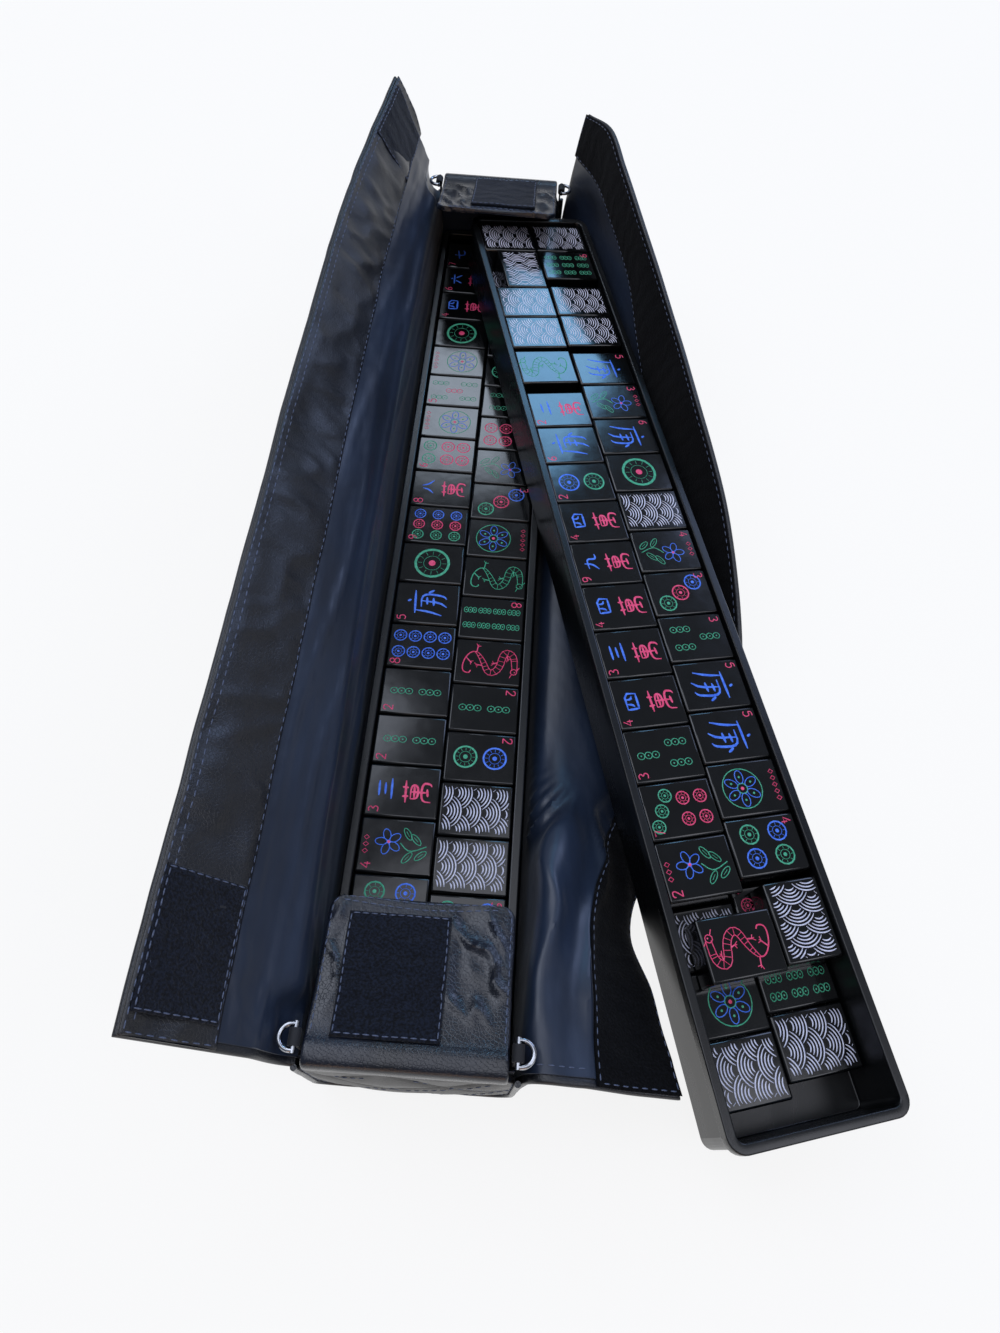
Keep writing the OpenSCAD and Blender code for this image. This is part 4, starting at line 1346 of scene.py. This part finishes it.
def disc(x, y, r, kind, steps=10):
    """A painted spot, a little raised in its middle."""
    a = np.linspace(0, 2 * math.pi, steps, endpoint=False)
    edge = np.stack([x + r * np.cos(a), y + r * np.sin(a), np.full(steps, LOW)], axis=1)
    points = np.concatenate([edge, [[x, y, 0.14]]])
    return points, [[i, (i + 1) % steps, steps] for i in range(steps)], kind


def spokes(x, y, inner, outer, count, width, kind, start=0.0):
    """Short painted lines round a middle."""
    out = []
    for i in range(count):
        a = start + 2 * math.pi * i / count
        d = np.array([math.cos(a), math.sin(a)])
        out.append(ribbon([np.array([x, y]) + inner * d, np.array([x, y]) + outer * d], width, kind))
    return out


# %% Numerals
DIGITS = {
    1: [[(0.25, 1.25), (0.55, 1.6), (0.55, 0)]],
    2: [[(0.05, 1.2), (0.1, 1.6), (0.9, 1.65), (0.95, 1.05), (0.05, 0.05), (0.05, 0), (0.95, 0)]],
    3: [[(0.05, 1.5), (0.6, 1.7), (1, 1.2), (0.4, 0.86), (1.05, 0.6), (0.8, -0.05), (0.05, 0.1)]],
    4: [[(0.66, 1.6), (0, 0.5), (1, 0.5)], [(0.72, 1.0), (0.72, 0)]],
    5: [[(0.9, 1.6), (0.2, 1.6), (0.1, 0.9), (0.8, 1.15), (1.05, 0.4), (0.6, -0.1), (0.05, 0.15)]],
    6: [[(0.8, 1.6), (0.2, 1.2), (0.0, 0.2), (0.5, -0.1), (1.0, 0.2), (0.8, 0.95), (0.15, 0.7)]],
    7: [[(0.05, 1.6), (0.95, 1.6), (0.4, 0)]],
    8: [[(0.5, 0.84), (-0.05, 1.1), (0.3, 1.7), (0.8, 1.7), (1.0, 1.1), (0.5, 0.84), (-0.1, 0.6),
         (0.1, -0.1), (0.9, -0.1), (1.1, 0.6), (0.5, 0.84)]],
    9: [[(0.85, 0.9), (0.2, 0.65), (0, 1.4), (0.5, 1.7), (1.0, 1.4), (0.9, 0.4), (0.3, 0)]],
}


def numeral(n):
    """A plain numeral in the face's top left corner."""
    lines = [np.array(line) * 2.5 + [-9.9, 9.4] for line in DIGITS[n]]
    return [ribbon(rounded(line, 0 if n in (1, 4, 7) else 2), 0.55, PINK_ID) for line in lines]


def small_signs(count=5):
    """A row of small plain lozenges where a word would stand."""
    out = []
    for i in range(count):
        x = (i - (count - 1) / 2) * 2.9
        corners = [(x - 0.95, 12.4), (x, 13.5), (x + 0.95, 12.4), (x, 11.3)]
        out.append(ribbon(corners, 0.42, PINK_ID, closed=True))
    return out


# %% Circles and bamboo
SPOTS = {
    1: [(0, 0)], 2: [(0, 6.4), (0, -6.4)], 3: [(-5.2, 7.6), (0, 0), (5.2, -7.6)],
    4: [(-4.9, 6.2), (4.9, 6.2), (-4.9, -6.2), (4.9, -6.2)],
    5: [(-5.6, 8), (5.6, 8), (0, 0), (-5.6, -8), (5.6, -8)],
    6: [(-4.6, 9), (4.6, 9), (-4.6, -0.6), (4.6, -0.6), (-4.6, -8.8), (4.6, -8.8)],
    7: [(-6.2, 11), (0, 8), (6.2, 5), (-4.4, -2.2), (4.4, -2.2), (-4.4, -9.8), (4.4, -9.8)],
    8: [(x, y) for y in (10.4, 3.5, -3.5, -10.4) for x in (-4.4, 4.4)],
    9: [(x, y) for y in (9.2, 0, -9.2) for x in (-6.6, 0, 6.6)],
}
SPOT_R = {1: 8.2, 2: 4.9, 3: 3.9, 4: 3.9, 5: 3.5, 6: 3.4, 7: 2.7, 8: 2.9, 9: 2.75}
SPOT_PAINT = {1: "g", 2: "bg", 3: "bpg", 4: "bggb", 5: "bgpgb", 6: "ggpppp", 7: "gggpppp",
              8: "b" * 8, 9: "gpb" * 3}
PAINTS = {"p": PINK_ID, "g": GREEN_ID, "b": BLUE_ID}


def wheel(x, y, r, kind):
    """One circle of the circle suit: two rims, a hub and short spokes between them."""
    steps = 20 if r > 4.5 else 14
    out = [ring(x, y, r, 0.16 * r + 0.15, kind, steps), ring(x, y, r * 0.52, 0.3, kind, steps - 4)]
    out += [disc(x, y, r * 0.24, PINK_ID if r > 7 else kind)]
    return out + spokes(x, y, r * 0.62, r * 0.86, 12 if r > 4.5 else 8, 0.3, kind)


def circles(n):
    """A tile of the circle suit."""
    out = numeral(n) if n > 1 else []
    for (x, y), letter in zip(SPOTS[n], SPOT_PAINT[n]):
        out += wheel(x + (0.9 if n in (6, 8) else 0), y, SPOT_R[n], PAINTS[letter])
    return out


def stick(x, y, length, kind):
    """One bamboo stick: three joints with a line through them."""
    out = []
    for i in (-1, 0, 1):
        out.append(ring(x, y + i * length / 3.1, length / 6.4, 0.42, kind, 10, 1.5 / (length / 6.4)))
        out.append(disc(x, y + i * length / 3.1, 0.42, kind, 6))
    return out


def bamboo(n):
    """A tile of the bamboo suit."""
    tall = {2: 10.5, 3: 10, 4: 10, 5: 9.5, 6: 9, 7: 7, 8: 6.2, 9: 7.2}[n]
    out = numeral(n)
    for i, (x, y) in enumerate(SPOTS[n] if n != 3 else [(0, 6.8), (-4.6, -6.4), (4.6, -6.4)]):
        kind = PINK_ID if n in (5, 7) and i == (2 if n == 5 else 1) else GREEN_ID
        out += stick(x * (1.0 if n < 7 else 0.96), y, tall, kind)
    return out


# %% Brush strokes
STROKES = {
    1: [[(-5.5, 0), (5.5, 0.5)]],
    2: [[(-3.6, 2.3), (3.6, 2.6)], [(-5.6, -2.3), (5.6, -1.9)]],
    3: [[(-4.2, 3.3), (4.2, 3.6)], [(-3.2, 0.1), (3.2, 0.4)], [(-5.6, -3.2), (5.6, -2.8)]],
    4: [[(-4.6, 3), (-4.2, -3.2)], [(-4.8, 3.1), (4.8, 3.3), (4.3, -3.2)],
        [(-1.4, 3), (-1.8, 0.2), (-3, -1)], [(1.2, 3), (1.3, 0.2), (3, -0.4)], [(-4.3, -3), (4.3, -2.9)]],
    5: [[(-4.2, 3.6), (4.2, 3.8)], [(-0.4, 3.6), (-1.8, -3.2)], [(-3.4, 0.6), (3, 0.8), (2.6, -3.2)],
        [(-5.6, -3.4), (5.6, -3.2)]],
    6: [[(0, 4.4), (0.6, 3)], [(-5.4, 1.6), (5.4, 2)], [(-1.4, 0.6), (-4.4, -3.6)],
        [(1.4, 0.6), (4.6, -3.6)]],
    7: [[(-5, 0.2), (5, 1.6)], [(-0.6, 4), (-0.6, -2.4), (0.4, -3.4), (4.6, -3.2), (4.8, -1.8)]],
    8: [[(-1.2, 3), (-2.2, -0.8), (-5.2, -3.6)], [(0.8, 3.6), (2.2, -0.6), (5.4, -3.6)]],
    9: [[(-1, 4), (-1.4, -0.4), (-5, -3.8)],
        [(-4.6, 1.8), (2.2, 2.4), (1.8, -2.4), (3, -3.4), (5.2, -3)]],
}
STANDING_FIGURE = [
    [(-5.4, 5.2), (5.4, 5.6)], [(-2.4, 6.8), (-2.2, 4)], [(2.2, 7), (2, 4.2)],
    [(-3.4, 3), (-3.2, -0.4), (3.2, -0.2), (3.4, 3.1), (-3.4, 3)], [(-3.2, 1.3), (3.2, 1.5)],
    [(0, 3), (0, -4.2)], [(-4.6, -6.4), (-4.4, -2), (4.6, -1.8), (4.4, -5.8), (3, -6.4)],
    [(-2, -4.9), (1.8, -4.4)],
]
BLUE_FIGURE = [
    [(0.4, 10), (1.2, 8.4)], [(-6, 6.2), (6.4, 6.8)], [(-4.2, 6.2), (-4.8, 0), (-6.6, -6)],
    [(-2.4, 3.6), (5, 4), (4.2, -6.2), (2.4, -7.6)], [(-1, 1), (3, 1.4)], [(-1.6, -2), (2.8, -1.6)],
    [(1, 4), (0.4, -4.6), (-2, -8)], [(5.4, 1), (7, -1.6)],
]


def brushed(strokes, kind, middle, size=1.0, width=1.15):
    """Strokes of a brush: thick in the middle and pointed at their ends."""
    out = []
    for line in strokes:
        p = rounded(np.array(line) * size + middle, 1 if len(line) < 4 else 2)
        if len(p) == 2:
            p = np.linspace(p[0], p[1], 5)
        out.append(ribbon(p, width, kind, taper=0.55))
    return out


def characters(n):
    """A tile of the numbered character suit: a blue numeral above a pink figure."""
    out = numeral(n) + brushed(STROKES[n], BLUE_ID, [0.8, 7.2], 0.82)
    return out + brushed(STANDING_FIGURE, PINK_ID, [0, -6.2], 0.92)


def blue_sign(n):
    """A tile with one large blue figure."""
    return numeral(n) + brushed(BLUE_FIGURE, BLUE_ID, [0.4, -1.2], 1.05, 1.3)


# %% Dragons, flowers and medallions
def dragon(kind):
    """A winding dragon: two outlines with ribs between them, legs, a head and a curled tail."""
    spine = rounded([(3.5, 12.5), (-4.5, 12), (-6.5, 7), (3.5, 5.5), (6.5, 0.5), (-1, -2.5), (-6.5, -6.5),
                     (-2, -11), (5.5, -12), (6.5, -8), (3.5, -7.5)], 3)
    share = run_of(spine) / run_of(spine)[-1]
    ahead = unit(np.gradient(spine, axis=0))
    side = np.stack([-ahead[:, 1], ahead[:, 0]], axis=1)
    half = (1.5 * np.sin(np.clip(share * 1.25 + 0.16, 0, 1) * math.pi) ** 0.5 + 0.1)[:, None]
    out = [ribbon((spine + s * side * half)[::2], 0.42, kind) for s in (-1, 1)]
    for i in np.searchsorted(share, np.linspace(0.06, 0.84, 22)):
        out.append(ribbon([spine[i] - side[i] * half[i], spine[i] + side[i] * half[i]], 0.3, kind))
    for i, s in zip(np.searchsorted(share, (0.2, 0.3, 0.52, 0.66, 0.76)), (1, -1, 1, -1, 1)):
        knee = spine[i] + s * side[i] * 3.0 + ahead[i] * 1.0
        out.append(ribbon([spine[i] + s * side[i] * half[i], knee], 0.6, kind))
        out += [ribbon([knee, knee + s * side[i] * 1.0 + ahead[i] * claw], 0.4, kind)
                for claw in (-1.1, 0.2, 1.4)]
    head = spine[0]
    out.append(ring(head[0] + 0.8, head[1] - 0.4, 1.5, 0.45, kind, 10))
    out.append(disc(head[0] + 1.0, head[1], 0.4, kind, 6))
    return out + [ribbon([head + a, head + b], 0.45, kind)
                  for a, b in (([2, -1.2], [4, -2.2]), ([0, 1.0], [-1.6, 2.2]))]


def medallion():
    """A round knot of petals, with a row of plain signs above it."""
    out = small_signs() + [ring(0, -2.4, 8.6, 0.5, GREEN_ID, 24), ring(0, -2.4, 2.2, 0.5, GREEN_ID, 12)]
    for i in range(6):
        a = math.pi * i / 3
        x, y = 5.0 * math.cos(a), -2.4 + 5.0 * math.sin(a)
        out.append(ring(x, y, 2.9, 0.45, BLUE_ID, 12, 0.6, a - math.pi / 2))
        out.append(disc(x, y, 0.6, GREEN_ID, 6))
    return out + [disc(0, -2.4, 0.9, PINK_ID, 8)]


def sprig(n):
    """A flower on a stem with leaves, with a numeral and a row of plain signs."""
    out = numeral(n) + small_signs(3)
    x, y = 1.6, 3.2
    for i in range(5):
        a = math.pi / 2 + 2 * math.pi * i / 5
        out.append(ring(x + 3.1 * math.cos(a), y + 3.1 * math.sin(a), 2.5, 0.45, BLUE_ID, 12, 0.62,
                        a - math.pi / 2))
    out.append(disc(x, y, 1.0, PINK_ID, 8))
    out.append(ribbon(rounded([(1.4, -1.6), (-2.6, -5.6), (0.6, -12.5)], 2), 0.5, GREEN_ID))
    for x, y, turn in ((-4.6, -5, 0.9), (3.2, -8, -0.8), (-3.4, -10.4, 0.7), (5.4, -4.4, -1.0)):
        out.append(ring(x, y, 2.9, 0.42, GREEN_ID, 12, 0.4, turn))
        out += spokes(x, y, 0, 1.3, 2, 0.3, GREEN_ID, turn + math.pi / 2)
    return out


# %% [markdown]
# The backs of the tiles carry rows of waves, an old pattern of overlapping scales. Each scale is a
# set of arcs round one middle, and a lower row covers part of the row above it, so the points of an
# arc that lie under a lower scale are left out.


# %% Backs with waves
WAVE_R = 8.2


def waves():
    """The wave pattern, clipped to the face."""
    middles = []
    for row in range(-1, 11):
        y = 15.5 - row * WAVE_R * 0.5 - WAVE_R * 0.6
        middles += [(row, i * 2 * WAVE_R + (WAVE_R if row % 2 else 0) + 1.2, y) for i in range(-2, 3)]
    out = []
    for row, x, y in middles:
        lower = [(a, b) for r, a, b in middles if 0 < r - row <= 3 and abs(a - x) < 2.1 * WAVE_R]
        for share in (0.96, 0.8, 0.64, 0.48, 0.32):
            angle = np.linspace(0, math.pi, 17)
            p = np.stack([x + share * WAVE_R * np.cos(angle), y + share * WAVE_R * np.sin(angle)], axis=1)
            seen = (np.abs(p[:, 0]) < 10.4) & (np.abs(p[:, 1]) < 14.1)
            for a, b in lower:
                seen &= np.hypot(p[:, 0] - a, p[:, 1] - b) > WAVE_R
            # Each run of seen points is one painted line
            ends = np.flatnonzero(np.diff(np.concatenate([[0], seen, [0]])))
            out += [ribbon(p[start:stop], 0.62, PALE_ID, taper=0.6)
                    for start, stop in zip(ends[::2], ends[1::2]) if stop - start > 1]
    return out


WAVES = waves()
print("one back has", sum(len(m[1]) for m in WAVES), "faces")

# %% [markdown]
# A face has a short code: a suit and its number, or one letter for a face drawn once. The suits are
# c circles, b bamboo, n characters, g the large blue figure and s the sprig. The others are w the
# waves of a back, m the medallion, p the pink and d the green dragon. Each column of a tray is read
# from its far end, and a dash is a tile that nothing shows or a place without one.

# %% Which face lies where
SUITS = {"c": circles, "b": bamboo, "n": characters, "g": blue_sign, "s": sprig}
DRAWN = {"w": WAVES, "m": medallion(), "p": dragon(PINK_ID), "d": dragon(GREEN_ID)}
FACES = {
    ("lower", -1, 1): "n7 n6 n4 c1 m b5 m c6 n8 c9 c1 g5 c8 b2 b2 n3 s4 c4 b3",
    ("lower", 1, 1): "- - - - - b4 c6 s1 c3 m d b8 p b2 c2 w w c5 b6",
    ("upper", -1, 1): "w - w w d n2 g6 c2 n4 n9 n4 n3 n4 b3 c7 s2",
    ("upper", 1, 1): "w b9 w w g5 s3 g6 c1 w s4 c3 b3 g5 g5 m c4",
    ("upper", -1, 0): "w w - - - - - - - - - - - - - - w m w",
    ("upper", 1, 0): "- - - - - - - - - - - - - - - - c7 b9 w",
}
LOOSE_FACES = {"turned_far_tile": "w", "dragon_tile": "p", "turned_near_tile": "w"}
HIDDEN = "c2 b4 n1 c5 b6 n7 c3 b9 n5".split()


def face_marks(code):
    """The marks of a face, drawn once for each code."""
    if code not in DRAWN:
        DRAWN[code] = SUITS[code[0]](int(code[1:]))
    return DRAWN[code]


def marks_of(code, n):
    """Marks turned to lie along the tile, on its top. A tile that nothing shows gets a plain suit."""
    out = []
    for points, faces, kind in face_marks(code or HIDDEN[n % len(HIDDEN)]):
        turned = np.stack([-points[:, 1], points[:, 0], points[:, 2] + TILE_T / 2], axis=1)
        out.append((turned, faces, kind))
    return out


for node in ("lower_deep_tiles", "lower_open_tiles", "upper_top_tiles", "dragon_tile"):
    print(node, len(tiles_of(node)), "tiles")

# %% Tiles of a node
def build_tiles(node, body):
    """All tiles of a node as one mesh, with their marks."""
    upper = not node.startswith("lower")
    points, faces, kinds, base = [], [], [], 0
    for n, (middle, turn, mark) in enumerate(tiles_of(node)):
        a = math.radians(turn + 0.3 * float(lattice(n * 1.0, middle[1], 61)))
        tips = [math.radians(0.35 * float(lattice(n * 1.0, middle[1], seed))) for seed in (62, 63)]
        spin = np.array(Matrix.Rotation(a, 3, "Z") @ Matrix.Rotation(tips[0], 3, "X")
                        @ Matrix.Rotation(tips[1] * 0.7, 3, "Y"))
        parts = [(TILE_POINTS, TILE_FACES, 0)] + marks_of(mark, n)
        for shape, faces_of, kind in parts:
            points.append(shape @ spin.T + middle)
            faces.extend([[base + i for i in f] for f in faces_of])
            kinds.extend([kind] * len(faces_of))
            base += len(shape)
    points = np.concatenate(points)
    points = points @ LIFTED[:3, :3].T + LIFTED[:3, 3] if upper else points + [0, 0, LOWER_Z]
    obj = mesh_of(node + "_resin", points, faces, [RESIN, PINK, GREEN, BLUE, PALE], kinds)
    smooth_edges(obj, 40, 60)
    finish_piece(obj, body, None, (node,))
    return obj


# Two layers ride on the lower tray, and every other node has a body of its own name
for node in ("lower_deep_tiles", "lower_covered_tiles", "lower_open_tiles", "upper_deep_tiles",
             "upper_top_tiles", "turned_far_tile", "dragon_tile", "turned_near_tile"):
    below = node in ("lower_deep_tiles", "lower_covered_tiles")
    tiles = build_tiles(node, "lower_tray" if below else node)
    points = get_points(tiles)
    print(tiles.name, len(tiles.data.polygons), points.min(0).round(1), points.max(0).round(1))

# %% [markdown]
# ## Floor and light
# The case stands on a plain pale floor. A large soft lamp on the left and one overhead light it, with
# a weaker one from the right. Tile tops and rims are mirrors, so what they show matters more: three
# smaller lamps beyond the far end act as windows. They stand where the tops of some rows reflect
# them, and colour those rows grey or blue. A dim warm one fills the near end. The floor and the sky
# show white to the camera.


# %% Floor, lamps and world
def pale_floor():
    """The floor: it glows a little for the camera and in reflections, so that it comes out white,
    and the rest of its light is plain, so that it takes the object's soft shadow."""
    floor = added(bpy.ops.mesh.primitive_plane_add, "floor", size=80, location=(0, 0, -0.0004))
    material, tree, shader = start_material("pale_floor", Roughness=0.9, Specular_IOR_Level=0.1)
    shader.inputs["Base Color"].default_value = srgb("#efefef")
    rays = add(tree, "ShaderNodeLightPath")
    kinds = {0: rays.outputs["Is Camera Ray"], 1: rays.outputs["Is Glossy Ray"]}
    seen = add(tree, "ShaderNodeMath", {}, kinds, operation="MAXIMUM").outputs[0]
    share = add(tree, "ShaderNodeMath", {1: 0.86}, {0: seen}, operation="MULTIPLY").outputs[0]
    glow = add(tree, "ShaderNodeEmission", {"Color": srgb("#ffffff"), "Strength": 1.0}).outputs[0]
    both = add(tree, "ShaderNodeMixShader", {}, {0: share, 1: shader.outputs[0], 2: glow})
    tree.links.new(both.outputs[0], tree.nodes["Material Output"].inputs["Surface"])
    floor.data.materials.append(material)


def soft_lamp(name, place, target, size, power, hex_code):
    """A rectangular area lamp that faces a target, all in metres."""
    lamp = added(bpy.ops.object.light_add, name, type="AREA", location=place)
    lamp.data.shape = "RECTANGLE"
    lamp.data.size, lamp.data.size_y = size
    lamp.data.energy = power
    lamp.data.color = srgb(hex_code)[:3]
    lamp.rotation_euler = (Vector(target) - Vector(place)).to_track_quat("-Z", "Y").to_euler()


def white_to_camera(world):
    """The camera sees plain white past the floor. Reflections keep the dim sky, since a white one
    would turn the black leather grey."""
    tree = world.node_tree
    dim = tree.nodes["Background"]
    dim.inputs["Color"].default_value, dim.inputs["Strength"].default_value = srgb("#d5dded"), 0.26
    white = add(tree, "ShaderNodeBackground", {"Color": srgb("#ffffff"), "Strength": 1.0})
    seen = add(tree, "ShaderNodeLightPath").outputs["Is Camera Ray"]
    both = add(tree, "ShaderNodeMixShader", {}, {0: seen, 1: dim.outputs[0], 2: white.outputs[0]})
    tree.links.new(both.outputs[0], tree.nodes["World Output"].inputs["Surface"])


pale_floor()
soft_lamp("left_lamp", (-1.0, 0.6, 1.7), (0, 0, 0), (1.3, 1.3), 15, "#e6eeff")
soft_lamp("right_lamp", (1.3, -0.6, 1.5), (0, 0, 0), (1.0, 1.0), 7, "#f2f4ff")
soft_lamp("window_card", (-0.16, 1.7, 1.58), (0, 0.1, 0.03), (0.3, 0.42), 2.4, "#d4e2f4")
soft_lamp("blue_window", (0.45, 1.7, 1.42), (0.06, 0.15, 0.06), (0.34, 0.5), 4.6, "#8ccbff")
soft_lamp("sky_card", (1.35, 1.3, 1.15), (-0.05, 0, 0.06), (0.9, 0.9), 9, "#b9ceff")
soft_lamp("overhead", (0.1, -0.2, 2.3), (0, 0, 0), (1.6, 1.6), 14, "#eef2ff")
soft_lamp("warm_fill", (0.1, -1.3, 0.3), (0, -0.25, 0.04), (0.9, 0.4), 1.6, "#ffcfa6")
world = bpy.data.worlds.new("soft_studio")
world.use_nodes = True
white_to_camera(world)
bpy.context.scene.world = world
bpy.context.scene.view_settings.view_transform = "Standard"
